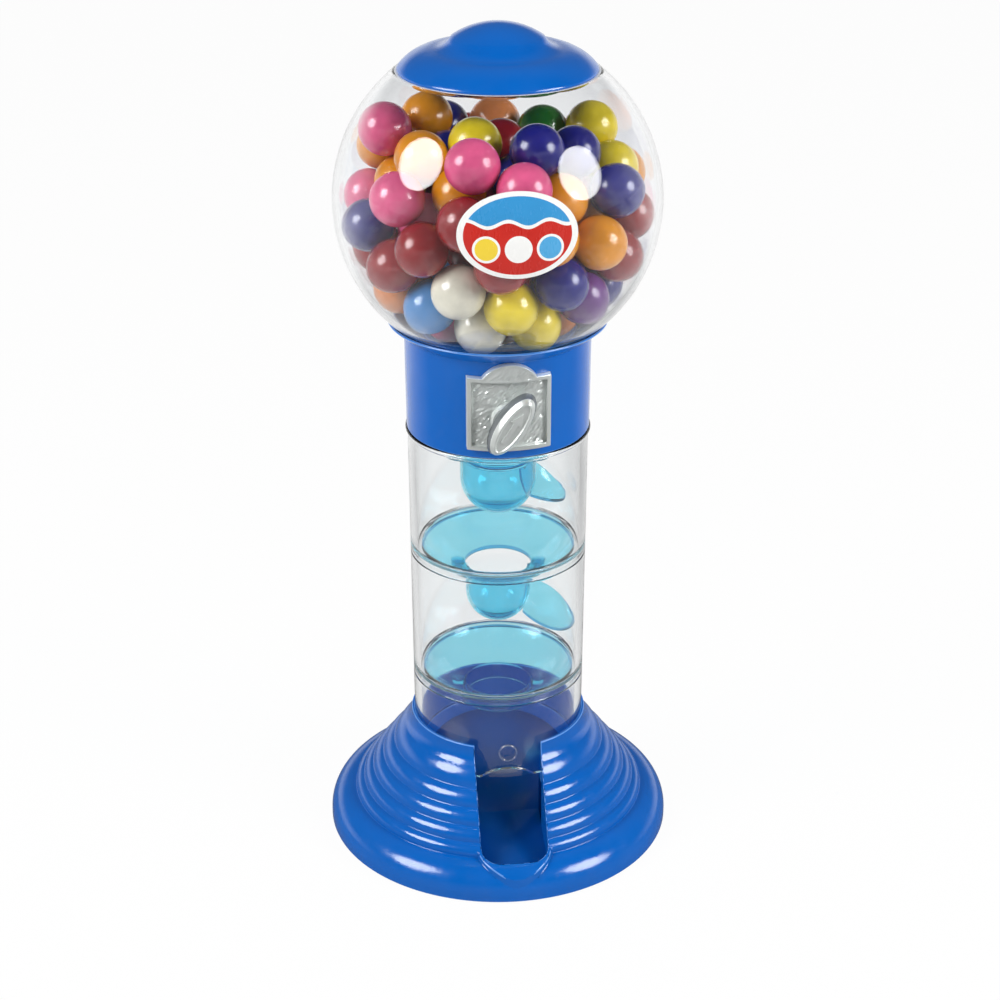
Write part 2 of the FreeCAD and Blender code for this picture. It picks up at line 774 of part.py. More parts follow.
housing_low = axis_z - d.housing_top
upper_cup_rim = housing_low - d.spout_length
upper_funnel, lower_cup_rim = funnel("upper_funnel", joint_high)
node(upper_funnel, "upper_funnel")
lower_funnel, _ = funnel("lower_funnel", joint_low)
node(lower_funnel, "lower_funnel")
node(cup("upper_cup", upper_cup_rim, d.upper_wing_turn), "upper_cup")
node(cup("lower_cup", lower_cup_rim, d.lower_wing_turn), "lower_cup")
all_pins = cup_pins("upper_pin", upper_cup_rim) + cup_pins("lower_pin", lower_cup_rim)
node(group("cup_pins", all_pins), "cup_pins")

# Collar: flared seat for the globe, bore for its neck, shelf for the drum housing, socket for the tube
ball_seat = d.globe_radius + d.seat_gap
flare_outer = ball_seat + d.flare_thickness
flare_share = flare_outer / ball_seat
flare_drop = leg(ball_seat, d.flare_radius)
collar_shoulder = (d.collar_radius, globe_z - leg(flare_outer, d.collar_radius))
tube_socket = spigot_radius(collar_z) + d.fit_gap
socket_top = collar_z + d.collar_spigot + d.fit_gap
shelf_low = collar_z + d.shelf_height
shelf_top = shelf_low + d.shelf_thickness
shelf_radius = d.collar_bore - d.shelf_width
flare_tip = (d.flare_radius, globe_z - flare_drop)
flare_edge = (d.flare_radius * flare_share, globe_z - flare_drop * flare_share)
bore_top = (d.collar_bore, globe_z - leg(ball_seat, d.collar_bore))
collar_form = turned("collar_form", [
    (tube_socket, collar_z),
    (d.collar_radius - d.collar_draft, collar_z),
    collar_shoulder + (ball_bow(flare_outer, collar_shoulder, flare_edge),),
    flare_edge,
    flare_tip + (-ball_bow(ball_seat, flare_tip, bore_top),),
    bore_top,
    (d.collar_bore, shelf_top),
    (shelf_radius, shelf_top),
    (shelf_radius, shelf_low),
    (d.collar_bore, shelf_low),
    (d.collar_bore, socket_top),
    (tube_socket, socket_top),
])
shaft_hole = cylinder(
    "shaft_hole", d.bush_radius + d.running_gap, d.collar_radius + 2,
    y=-(d.collar_radius + 2), z=axis_z, along="Y"
)
housing_screw_x = d.collar_bore - d.shelf_width / 2
housing_screw_length = d.housing_ear_thickness + d.shelf_thickness
housing_screw_low = shelf_top + d.housing_ear_thickness - housing_screw_length
shelf_holes = [
    cylinder(f"shelf_hole_{side}", d.pin_radius + d.running_gap, d.shelf_thickness + 2,
             housing_screw_x * side, 0, shelf_low - 1)
    for side in (-1.0, 1.0)
]
node(cut("collar", collar_form, shaft_hole, *shelf_holes), "collar")

# Drum housing: a block with a round chamber, an inlet above and an outlet below, on two ears
chamber_half = d.drum_half_length + d.drum_gap
housing_half_length = chamber_half + d.housing_wall
housing_high = axis_z + d.housing_top
housing_block = box(
    "housing_block",
    (-d.housing_half_width, -housing_half_length, housing_low),
    (d.housing_half_width, housing_half_length, housing_high),
)
ear_reach = d.collar_bore - d.loose_gap
ear_bar = common(
    "ear_bar",
    box("ear_block", (-ear_reach, -(d.housing_ear_width / 2), shelf_top),
        (ear_reach, d.housing_ear_width / 2, shelf_top + d.housing_ear_thickness)),
    cylinder("ear_round", ear_reach, d.housing_top * 2, z=housing_low),
)
chamber = cylinder(
    "chamber", d.drum_radius + d.drum_gap, chamber_half * 2, y=-chamber_half, z=axis_z, along="Y"
)
ports = cylinder("ports", d.port_radius, d.housing_top * 2 + 2, z=housing_low - 1)
hub_hole = cylinder(
    "hub_hole", d.hub_radius + d.running_gap, d.housing_wall + 2,
    y=-(housing_half_length + 1), z=axis_z, along="Y"
)
journal_hole = cylinder(
    "journal_hole", d.journal_radius + d.running_gap, d.housing_wall + 2,
    y=chamber_half - 1, z=axis_z, along="Y"
)
ear_holes = [
    cylinder(f"housing_ear_hole_{side}", d.pin_radius + d.running_gap, d.housing_ear_thickness + 2,
             housing_screw_x * side, 0, shelf_top - 1)
    for side in (-1.0, 1.0)
]
node(cut("drum_housing", fuse("housing_whole", housing_block, ear_bar),
         chamber, ports, hub_hole, journal_hole, *ear_holes), "drum_housing")
housing_screws = []
for side in (-1.0, 1.0):
    x = housing_screw_x * side
    shank = cylinder(f"housing_shank_{side}", d.pin_radius, housing_screw_length, x, 0, housing_screw_low)
    head = cylinder(f"housing_head_{side}", d.pin_head_radius, d.pin_head_height, x, 0,
                    shelf_top + d.housing_ear_thickness)
    housing_screws.append(fuse(f"housing_screw_{side}", shank, head))
node(group("housing_screws", housing_screws), "housing_screws")

# Dispensing drum: a pocket for one gumball, a rear journal, and a front hub that takes the knob's stem
hub_front = d.drum_half_length + d.hub_length
drum_bar = cylinder(
    "drum_bar", d.drum_radius, d.drum_half_length * 2, y=-d.drum_half_length, z=axis_z, along="Y"
)
journal = cylinder("journal", d.journal_radius, d.journal_length, y=d.drum_half_length, z=axis_z, along="Y")
hub = cylinder("hub", d.hub_radius, d.hub_length, y=-hub_front, z=axis_z, along="Y")
pocket = cylinder("pocket", d.pocket_radius, d.pocket_depth + 1, z=axis_z + d.drum_radius - d.pocket_depth)
stem_end = d.pocket_radius + 1.0
hub_bore = cylinder(
    "hub_bore", d.stem_radius + d.press_gap, hub_front - stem_end + 1,
    y=-(hub_front + 1), z=axis_z, along="Y"
)
pin_y = hub_front - d.pin_radius * 1.6
pin_hole = cylinder(
    "pin_hole", d.pin_radius + d.press_gap, d.hub_radius * 2 + 2, y=-pin_y, z=axis_z - d.hub_radius - 1
)
node(cut("dispensing_drum", fuse("drum_whole", drum_bar, journal, hub), pocket, hub_bore, pin_hole),
     "dispensing_drum")
node(cylinder("drive_pin", d.pin_radius, d.hub_radius * 2, y=-pin_y, z=axis_z - d.hub_radius), "drive_pin")

# Hopper floor: a dish in the globe's neck that leads to the drum's inlet
neck_radius = d.collar_bore - d.fit_gap
neck_bore = neck_radius - d.neck_wall
floor_radius = neck_bore - d.loose_gap
floor_hole = (d.port_radius, housing_high + d.floor_edge)
dish_z = floor_hole[1] + leg(d.floor_dish_radius, d.port_radius)
floor_rim = (floor_radius, dish_z - leg(d.floor_dish_radius, floor_radius))
node(turned("hopper_floor", [
    (d.port_radius, housing_high),
    (floor_radius, housing_high),
    floor_rim + (-ball_bow(d.floor_dish_radius, floor_rim, floor_hole),),
    floor_hole,
]), "hopper_floor")

# Globe: a clear ball with a neck below and an open mouth above
globe_inner = d.globe_radius - d.globe_wall
mouth_z = globe_z + leg(globe_inner, d.mouth_radius)
mouth_outer = leg(d.globe_radius, leg(globe_inner, d.mouth_radius))
neck_top = (neck_radius, globe_z - leg(d.globe_radius, neck_radius))
neck_inner_top = (neck_bore, globe_z - leg(globe_inner, neck_bore))
rim_outer = (mouth_outer, mouth_z)
rim_inner = (d.mouth_radius, mouth_z)
neck_low = neck_top[1] - d.neck_length
node(turned("globe", [
    (neck_bore, neck_low),
    (neck_radius, neck_low),
    neck_top + (ball_bow(d.globe_radius, neck_top, rim_outer),),
    rim_outer,
    rim_inner + (-ball_bow(globe_inner, rim_inner, neck_inner_top),),
    neck_inner_top,
]), "globe")

# Lid: a brim that rests on the globe's mouth, a low dome, and a skirt inside the mouth
lid_radius = mouth_outer - d.lid_inset
skirt_radius = d.mouth_radius - d.lid_gap
lid_top = mouth_z + d.lid_height
lid_inside = lid_top - d.lid_wall
dome_edge = (d.lid_dome_radius, mouth_z + d.lid_dome_height)
inside_edge = (d.lid_dome_radius - d.lid_wall / 2, mouth_z + d.lid_dome_height - d.lid_wall)


def dome_bow(edge, top):
    """How far a ball's cap, from its edge up to its top on the axis, stands off the chord."""
    rise = top - edge[1]
    radius = (edge[0] * edge[0] + rise * rise) / (rise * 2)
    return ball_bow(radius, edge, (0, top))


node(turned("lid", [
    (skirt_radius, mouth_z),
    (lid_radius, mouth_z),
    (lid_radius, mouth_z + d.lid_edge, d.lid_brim_bow),
    (d.lid_brim_radius, mouth_z + d.lid_brim_height, -d.lid_hollow_bow),
    dome_edge + (dome_bow(dome_edge, lid_top),),
    (0, lid_top),
    (0, lid_inside, -dome_bow(inside_edge, lid_inside)),
    inside_edge,
    (d.lid_brim_radius - d.lid_wall * 0.2, mouth_z + d.lid_brim_height - d.lid_wall, -d.lid_brim_bow),
    (skirt_radius - d.lid_wall, mouth_z),
    (skirt_radius - d.lid_wall, mouth_z - d.lid_skirt),
    (skirt_radius, mouth_z - d.lid_skirt),
]), "lid")

# Front plate: bent to the collar, with an arched top, a raised border and a hole for the bush
plate_low = collar_z + d.plate_bottom
plate_high = plate_low + d.plate_height
plate_back = d.collar_radius + d.running_gap
plate_face = plate_back + d.plate_thickness


def plate_frame(half_width, low, high, arch_half_width, arch_rise):
    """The plate from the front: a rectangle with an arched top."""
    return [
        (-half_width, low),
        (half_width, low),
        (half_width, high),
        (arch_half_width, high, arch_rise),
        (-arch_half_width, high),
        (-half_width, high),
    ]


band_low = plate_low - 1
band_high = plate_high + d.plate_arch_height + 1
plate_band = ring("plate_band", plate_back, plate_face, band_low, band_high)
plate_form = padded(
    "plate_form", "XZ_Plane",
    plate_frame(d.plate_half_width, plate_low, plate_high, d.plate_arch_half_width, d.plate_arch_height),
    plate_face + 1,
)
field_half = d.plate_half_width - d.plate_border
field_form = padded("field_form", "XZ_Plane", [
    (-field_half, plate_low + d.plate_border),
    (field_half, plate_low + d.plate_border),
    (field_half, plate_high - d.plate_border),
    (-field_half, plate_high - d.plate_border),
], plate_face + 1)
field_band = ring("field_band", plate_face - d.plate_recess, plate_face + 1, band_low, band_high)
plate_hole = cylinder(
    "plate_hole", d.bush_radius + d.running_gap, plate_face + 1, y=-(plate_face + 1), z=axis_z, along="Y"
)
node(cut("front_plate", common("plate_blank", plate_band, plate_form),
         common("plate_field", field_band, field_form), plate_hole, collar_form), "front_plate")

# Shaft bush: a flanged ring in the collar's wall that carries the knob's stem
field_face = plate_face - d.plate_recess
bush_back = leg(d.collar_bore, d.bush_flange) - d.bush_flange_thickness - d.fit_gap
bush_front = field_face
bush_body = cylinder("bush_body", d.bush_radius, bush_front - bush_back, y=-bush_front, z=axis_z, along="Y")
bush_rim = cylinder(
    "bush_rim", d.bush_flange, d.bush_flange_thickness,
    y=-(bush_back + d.bush_flange_thickness), z=axis_z, along="Y"
)
bush_bore = cylinder(
    "bush_bore", d.stem_radius + d.running_gap, bush_front, y=-(bush_front + 1), z=axis_z, along="Y"
)
node(cut("shaft_bush", fuse("bush_whole", bush_body, bush_rim), bush_bore), "shaft_bush")

# Knob: an oval grip with a raised rim on a round boss, and a stem to the drum
boss_back = plate_face + d.drum_gap
boss_front = boss_back + d.boss_length
grip_front = boss_front + d.grip_thickness
stem = cylinder("stem", d.stem_radius, boss_front - stem_end, y=-boss_front, z=axis_z, along="Y")
boss = cylinder("boss", d.boss_radius, d.boss_length, y=-boss_front, z=axis_z, along="Y")


def oval(name, half_length, half_width, thickness, front, z, lean):
    """An oval plate that faces the front, leaned in degrees, with its front face at a given reach."""
    edge = doc.addObject("Part::Ellipse", f"{name}_edge")
    bind(edge, MajorRadius=half_length, MinorRadius=half_width)
    across = FreeCAD.Rotation(FreeCAD.Vector(1, 0, 0), 90)
    edge.Placement = FreeCAD.Placement(ORIGIN, across * FreeCAD.Rotation(UP, lean))
    place(edge, y=thickness - front, z=z)
    plate = doc.addObject("Part::Extrusion", name)
    plate.Base = edge
    plate.DirMode = "Custom"
    plate.Dir = FreeCAD.Vector(0, -1, 0)
    plate.Solid = True
    bind(plate, LengthFwd=thickness)
    return plate


grip_half_length = d.grip_length / 2
grip_half_width = d.grip_width / 2
grip_lean = 90 - d.grip_turn.amount
grip_slab = oval(
    "grip_slab", grip_half_length, grip_half_width, d.grip_thickness, grip_front, axis_z, grip_lean
)
doc.recompute()
grip = doc.addObject("Part::Fillet", "grip")
grip.Base = grip_slab
ring_edges = [i for i, edge in enumerate(grip_slab.Shape.Edges, 1) if edge.isClosed()]
grip.Edges = [(i, d.grip_round.amount, d.grip_round.amount) for i in ring_edges]
dip_half_length = grip_half_length - d.grip_rim - d.grip_round
dip_half_width = grip_half_width - d.grip_rim - d.grip_round * 0.5
grip_dip = oval(
    "grip_dip", dip_half_length, dip_half_width, d.grip_recess + 1, grip_front + 1, axis_z, grip_lean
)
stem_pin_hole = cylinder(
    "stem_pin_hole", d.pin_radius + d.press_gap, d.hub_radius * 2, y=-pin_y, z=axis_z - d.hub_radius
)
node(cut("knob", fuse("knob_whole", stem, boss, grip), grip_dip, stem_pin_hole), "knob")

# Outlet spout: leads from the drum's outlet into the upper cup
spout_low = upper_cup_rim
spout_top = housing_low
spout_form = turned("spout_form", [
    (throat_inner, spout_low - d.throat_length + d.cup_drop),
    (throat_outer, spout_low - d.throat_length + d.cup_drop),
    (throat_outer, spout_low + d.fit_gap),
    (d.cup_radius, spout_low + d.fit_gap),
    (d.cup_radius, spout_top - d.spout_flange_thickness),
    (d.spout_flange, spout_top - d.spout_flange_thickness),
    (d.spout_flange, spout_top),
    (d.port_radius, spout_top),
    (d.port_radius, spout_low + d.throat_length),
    (throat_inner, spout_low + d.throat_length - d.cup_drop),
])
spout_ears = ear_webs("spout_web", throat_outer, d.throat_length, spout_low)
spout_holes = []
for index, (x, y) in enumerate(ear_places()):
    spout_ears.append(cylinder(f"spout_ear_{index}", d.ear_radius, d.throat_length, x, y, spout_low))
    spout_holes.append(cylinder(f"spout_ear_hole_{index}", d.pin_radius + d.press_gap, d.cup_drop,
                                x, y, spout_low))
node(cut("outlet_spout", fuse("spout_whole", spout_form, *spout_ears), *spout_holes), "outlet_spout")

# Label: a thin patch on the front of the globe
label_z = globe_z + d.label_rise
label_reach = d.globe_radius + d.cut_margin
label_form = oval(
    "label_form", d.label_half_width, d.label_half_height, d.globe_radius, label_reach, label_z, 0
)
label_skin = cut(
    "label_skin",
    ball("label_outside", d.globe_radius + d.label_thickness, globe_z),
    ball("label_inside", d.globe_radius, globe_z),
)
node(common("front_label", label_skin, label_form), "front_label")


# Gumballs: each lies in the lowest place that three neighbours or walls leave for it
def meeting_points(first, second, third):
    """The two points at given distances from three centres, or none."""
    (a, ra), (b, rb), (c, rc) = first, second, third
    across = b - a
    span = across.Length
    if span < 1e-6:
        return []
    ex = across / span
    reach = ex.dot(c - a)
    rest = (c - a) - ex * reach
    if rest.Length < 1e-6:
        return []
    ey = rest / rest.Length
    depth = ey.dot(c - a)
    x = (ra ** 2 - rb ** 2 + span ** 2) / (2 * span)
    y = (ra ** 2 - rc ** 2 + reach ** 2 + depth ** 2) / (2 * depth) - reach / depth * x
    square = ra ** 2 - x ** 2 - y ** 2
    if square < 0:
        return []
    level = a + ex * x + ey * y
    lift = ex.cross(ey) * math.sqrt(square)
    return [level + lift, level - lift]


def pile(radius, gap, globe, dish, top):
    """Centres of gumballs that fill the globe up to a height, from the floor dish upwards."""
    spacing = 2 * radius + gap
    walls = [(centre, size - radius - gap) for centre, size in (globe, dish)]
    slack = gap * 0.1
    seed_reach = spacing / math.sqrt(3)
    dish_centre, dish_reach = walls[1]
    seed_z = dish_centre.z - math.sqrt(dish_reach ** 2 - seed_reach ** 2)
    centres = []
    spots = []

    def fits(point):
        inside = all((point - centre).Length <= reach + slack for centre, reach in walls)
        return inside and all((point - centre).Length >= spacing - slack for centre in centres)

    def add(point):
        near = [(c, spacing) for c in centres if (c - point).Length < 2 * spacing]
        supports = near + walls
        centres.append(point)
        spots[:] = [spot for spot in spots if (spot - point).Length >= spacing - slack]
        for index, second in enumerate(supports):
            for third in supports[:index]:
                spots.extend(p for p in meeting_points((point, spacing), second, third) if fits(p))

    for turn in (30, 150, 270):
        angle = math.radians(turn)
        add(FreeCAD.Vector(seed_reach * math.cos(angle), seed_reach * math.sin(angle), seed_z))
    while spots:
        lowest = min(spots, key=lambda spot: (round(spot.z, 3), round(spot.y, 3), spot.x))
        if lowest.z > top:
            break
        add(lowest)
    return centres


def colour_at(arm, radius, chance):
    """Colour of a gumball: by its place in the front of the globe, and by chance elsewhere."""
    turn = math.radians(VIEW_TURN)
    rise = math.radians(VIEW_RISE)
    right = FreeCAD.Vector(math.cos(turn), -math.sin(turn), 0)
    inward = FreeCAD.Vector(math.sin(turn), math.cos(turn), 0)
    upward = inward * math.sin(rise) + UP * math.cos(rise)
    nearness = UP.dot(arm) * math.sin(rise) - inward.dot(arm) * math.cos(rise)
    drawn = chance.choice(BACK_COLOURS)
    if nearness < radius * FRONT_SHARE:
        return drawn
    seen_right = right.dot(arm) / radius
    seen_up = upward.dot(arm) / radius
    spots = [(x, y, colour) for colour, places in FRONT_COLOURS.items() for x, y in places]
    return min(spots, key=lambda spot: math.hypot(spot[0] - seen_right, spot[1] - seen_up))[2]


def fill_globe():
    """Put the gumballs into the globe, one sub-part for each colour."""
    globe_centre = FreeCAD.Vector(0, 0, globe_z.amount)
    dish_centre = FreeCAD.Vector(0, 0, dish_z.amount)
    globe_wall = (globe_centre, globe_inner.amount)
    dish_wall = (dish_centre, d.floor_dish_radius.amount)
    top = globe_z.amount + d.gumball_level.amount
    centres = pile(d.gumball_radius.amount, d.gumball_gap.amount, globe_wall, dish_wall, top)
    chance = random.Random(5)
    colours = {}
    for index, centre in enumerate(centres):
        gumball = doc.addObject("Part::Sphere", f"gumball_{index}")
        bind(gumball, Radius=d.gumball_radius)
        gumball.Placement = FreeCAD.Placement(centre, FreeCAD.Rotation())
        colour = colour_at(centre - globe_centre, d.globe_radius.amount, chance)
        colours.setdefault(colour, []).append(gumball)
    for colour, gumballs in sorted(colours.items()):
        node(group(f"gumballs_{colour}", gumballs), f"gumballs_{colour}")
    print("gumballs", len(centres), {colour: len(items) for colour, items in colours.items()})


fill_globe()

# Check every item, then write each sub-part
doc.recompute()
faults = [item.Label for item in doc.Objects if {"Invalid", "Error"} & set(item.State)]
for label, item in nodes.items():
    if item.Shape.isNull() or not item.Shape.isValid() or not item.Shape.Solids:
        faults.append(label)
if faults:
    raise RuntimeError(f"failed items: {faults}")
os.makedirs("parts", exist_ok=True)
for label, item in nodes.items():
    item.Shape.exportStep(f"parts/{label}.step")
    limits = item.Shape.BoundBox
    count = len(item.Shape.Solids)
    print(f"{label}: {count} solid, {item.Shape.Volume:.0f} mm3, z {limits.ZMin:.1f} to {limits.ZMax:.1f}")
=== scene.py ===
import math

import bmesh
import bpy
from mathutils import Matrix, Vector, noise


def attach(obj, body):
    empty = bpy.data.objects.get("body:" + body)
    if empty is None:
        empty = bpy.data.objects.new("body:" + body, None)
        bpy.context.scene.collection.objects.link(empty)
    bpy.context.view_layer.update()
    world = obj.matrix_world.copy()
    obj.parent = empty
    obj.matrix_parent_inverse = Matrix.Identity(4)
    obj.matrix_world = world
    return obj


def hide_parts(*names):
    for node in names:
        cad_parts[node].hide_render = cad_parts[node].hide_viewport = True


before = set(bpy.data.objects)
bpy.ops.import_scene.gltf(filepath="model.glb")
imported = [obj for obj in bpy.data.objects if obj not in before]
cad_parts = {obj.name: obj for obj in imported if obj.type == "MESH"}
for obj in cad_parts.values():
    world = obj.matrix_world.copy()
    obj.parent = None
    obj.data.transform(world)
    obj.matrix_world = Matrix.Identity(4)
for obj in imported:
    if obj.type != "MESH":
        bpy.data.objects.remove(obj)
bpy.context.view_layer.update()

# Sizes in millimetres, as in the solids
MM = 0.001
TUBE_SEAT = 28.0
TUBE_LOW_RADIUS = 27.4
TUBE_WIDENING = 0.8
TUBE_WALL = 2.2
JOINT_LAP = 1.1
JOINT_SPIGOT = 2.0
JOINT_SOCKET = 3.2
COLLAR_SPIGOT = 4.0
JOINT_LOW = 54.8
JOINT_HIGH = 98.6
COLLAR_Z = 141.7
KNOB_Z = 155.5
GLOBE_Z = 213.8
GLOBE_RADIUS = 49.3
GLOBE_WALL = 1.8
GLOBE_INNER = GLOBE_RADIUS - GLOBE_WALL
MOUTH_RADIUS = 27.0
MOUTH_Z = GLOBE_Z + math.sqrt(GLOBE_INNER ** 2 - MOUTH_RADIUS ** 2)
MOUTH_OUTER = math.sqrt(GLOBE_RADIUS ** 2 - (MOUTH_Z - GLOBE_Z) ** 2)
NECK_RADIUS = 26.1
NECK_BORE = 24.3
NECK_LENGTH = 6.0
RIM_HIGHLIGHT_STRIP = 0.3
PLATE_BACK = 28.75
PLATE_LOW = 145.1
PLATE_HIGH = 168.3
PLATE_HALF = 12.65
PLATE_THICKNESS = 2.2
PLATE_BORDER = 1.4
PLATE_RECESS = 1.3
PLATE_ARCH_HALF = 8.2
PLATE_ARCH_RISE = 4.4
BUSH_RADIUS = 5.05
GRIP_HALF_LENGTH = 11.0
GRIP_HALF_WIDTH = 5.1
GRIP_LEAN = 56.5
SLOT_HALF = 10.7
RAMP_DRAW = 1.03
GUMBALL_RADIUS = 7.9
LABEL_Z = GLOBE_Z + 4.5
LABEL_HALF_WIDTH = 17.0
LABEL_HALF_HEIGHT = 12.3
EDGE_STRIP = 0.5
SEAM = 0.1
EAR_TURNS = (-6.8, 173.2)
EAR_CIRCLE = 13.0
EAR_RADIUS = 2.2
EAR_THICKNESS = 1.6
FUNNEL_RIM = 24.2
FUNNEL_HOLE = 10.5
FUNNEL_HOLE_OUTER = 11.6
FUNNEL_HOLE_DROP = 4.9
FUNNEL_HOLE_EDGE = 1.3
CUP_RADIUS = 10.4
CUP_DEPTH = 19.0
CUP_WALL = 1.0
UPPER_CUP_RIM = 131.3
UPPER_CUP_RADIUS = 12.0
UPPER_CUP_DEPTH = 19.7
LOWER_CUP_RIM = 92.1

scene = bpy.context.scene


# Shapes
def arc_points(p, q, bow):
    """Points after p up to q on an arc that stands off the chord by bow, to the right of the way."""
    p, q = Vector(p), Vector(q)
    chord = q - p
    half = chord.length / 2
    radius = (half * half + bow * bow) / (2 * abs(bow))
    side = 1.0 if bow > 0 else -1.0
    right = Vector((chord.y, -chord.x)).normalized() * side
    centre = (p + q) / 2 + right * (abs(bow) - radius)
    turn = 2 * math.asin(min(half / radius, 1.0)) * side
    count = max(3, math.ceil(radius * abs(turn) / 1.2))
    arm = p - centre
    return [centre + Matrix.Rotation(turn * k / count, 2) @ arm for k in range(1, count + 1)]


def ball_bow(radius, p, q):
    """How far a ball's side stands off the chord from p to q."""
    half = (Vector(q) - Vector(p)).length / 2
    return radius - math.sqrt(radius * radius - half * half)


def trace(corners):
    """Points of a profile of radius and height. A corner's third entry bows its next side."""
    points = [Vector(corners[0][:2])]
    for corner, end in zip(corners, corners[1:] + corners[:1]):
        if len(corner) == 3:
            points += arc_points(corner[:2], end[:2], corner[2])
        else:
            points += straight_points(corner, end)
    return points[:-1]


def straight_points(p, q):
    """Points after p up to q: a long side gets one near each end, so that its shading stays flat."""
    p, q = Vector(p[:2]), Vector(q[:2])
    side = q - p
    inset = side.normalized() * EDGE_STRIP
    return [p + inset, q - inset, q] if side.length > 3 * EDGE_STRIP else [q]


def lathe(corners, steps=160):
    """A profile of radius and height turned about the machine's axis, from its front."""
    shape = bmesh.new()
    verts = [shape.verts.new((0, -p.x * MM, p.y * MM)) for p in trace(corners)]
    edges = [shape.edges.new(pair) for pair in zip(verts, verts[1:] + verts[:1])]
    spin_row(shape, verts + edges, (0, 0, 1), steps)
    return shape


def spin_row(shape, row, axis, steps):
    """Turn a row of points and edges once around an axis through the origin."""
    bmesh.ops.spin(
        shape, geom=row, cent=(0, 0, 0), axis=axis, angle=2 * math.pi, steps=steps, use_merge=True
    )
    tidy(shape)


def points_of(geom):
    """The points among what an operator gives."""
    return [part for part in geom if isinstance(part, bmesh.types.BMVert)]


def tidy(shape):
    """Close seams and poles, and turn the faces outwards."""
    bmesh.ops.remove_doubles(shape, verts=shape.verts, dist=1e-6)
    bmesh.ops.dissolve_degenerate(shape, dist=1e-6, edges=shape.edges)
    bmesh.ops.recalc_face_normals(shape, faces=shape.faces)


def soften(shape, width, angle=35.0, segments=2, clamp=True):
    """Round the sharp edges of a shape, and give the faces of the roundings."""
    limit = math.radians(angle)
    sharp = [
        edge for edge in shape.edges
        if len(edge.link_faces) == 2 and edge.calc_face_angle(0) > limit
    ]
    return bmesh.ops.bevel(
        shape, geom=sharp, offset=width * MM, offset_type="OFFSET", segments=segments, profile=0.5,
        affect="EDGES", material=-1, clamp_overlap=clamp
    )["faces"]


def from_solid(name):
    """A copy of a solid's faces, so that its edges can be rounded."""
    shape = bmesh.new()
    shape.from_mesh(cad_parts[name].data)
    bmesh.ops.remove_doubles(shape, verts=shape.verts, dist=1e-6)
    return shape


def weigh_normals(mesh):
    """Shade each point mostly as its larger faces lie, so that flat faces stay flat beside rounded edges."""
    normals = [Vector((0, 0, 0)) for _ in mesh.vertices]
    for face in mesh.polygons:
        for index in face.vertices:
            normals[index] += face.normal * face.area
    mesh.normals_split_custom_set_from_vertices([normal.normalized() for normal in normals])


def piece(name, shape, materials, body, slot, *nodes, crease=40.0, weighed=False):
    """Make a shape a piece of the object that stands for its solids."""
    mesh = bpy.data.meshes.new(name)
    shape.to_mesh(mesh)
    shape.free()
    mesh.shade_smooth()
    if weighed:
        weigh_normals(mesh)
    else:
        mesh.set_sharp_from_angle(angle=math.radians(crease))
    for material in materials if isinstance(materials, tuple) else (materials,):
        mesh.materials.append(material)
    item = bpy.data.objects.new(name, mesh)
    scene.collection.objects.link(item)
    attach(item, body)
    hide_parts(*nodes)
    return item


# Shader helpers
def add_node(tree, kind, **values):
    """A node with its settings, and its sockets set or linked by name."""
    node = tree.nodes.new(kind)
    for name, value in values.items():
        key = name.replace("_", " ")
        socket = node.inputs.get(key) or node.inputs.get(key.title())
        if socket is None:
            setattr(node, name, value)
        elif isinstance(value, bpy.types.NodeSocket):
            tree.links.new(value, socket)
        else:
            socket.default_value = value
    return node


def maths(tree, operation, first, second=0.0, third=0.0):
    """A sum or comparison of values that are set or linked."""
    node = tree.nodes.new("ShaderNodeMath")
    node.operation = operation
    for socket, value in zip(node.inputs, (first, second, third)):
        if isinstance(value, bpy.types.NodeSocket):
            tree.links.new(value, socket)
        else:
            socket.default_value = value
    return node.outputs[0]


def blend(tree, share, first, second):
    """A colour between two, by a share that changes over the surface."""
    node = tree.nodes.new("ShaderNodeMix")
    node.data_type = "RGBA"
    for socket, value in ((node.inputs[0], share), (node.inputs[6], first), (node.inputs[7], second)):
        if isinstance(value, bpy.types.NodeSocket):
            tree.links.new(value, socket)
        elif isinstance(value, tuple):
            socket.default_value = (*value, 1.0)
        else:
            socket.default_value = value
    return node.outputs[2]


def span(tree, value, low, high, start=0.0, end=1.0):
    """A value stretched from one range to another."""
    node = add_node(tree, "ShaderNodeMapRange", Value=value)
    for name, number in (("From Min", start), ("From Max", end), ("To Min", low), ("To Max", high)):
        node.inputs[name].default_value = number
    return node.outputs[0]


def effect(name, inputs, outputs):
    """A shader node group with named sockets."""
    tree = bpy.data.node_groups.new(name, "ShaderNodeTree")
    for label, value in inputs.items():
        socket = tree.interface.new_socket(name=label, in_out="INPUT", socket_type="NodeSocketFloat")
        socket.default_value = value
    for label in outputs:
        tree.interface.new_socket(name=label, in_out="OUTPUT", socket_type="NodeSocketFloat")
    start = tree.nodes.new("NodeGroupInput")
    end = tree.nodes.new("NodeGroupOutput")
    return tree, start.outputs, end.inputs


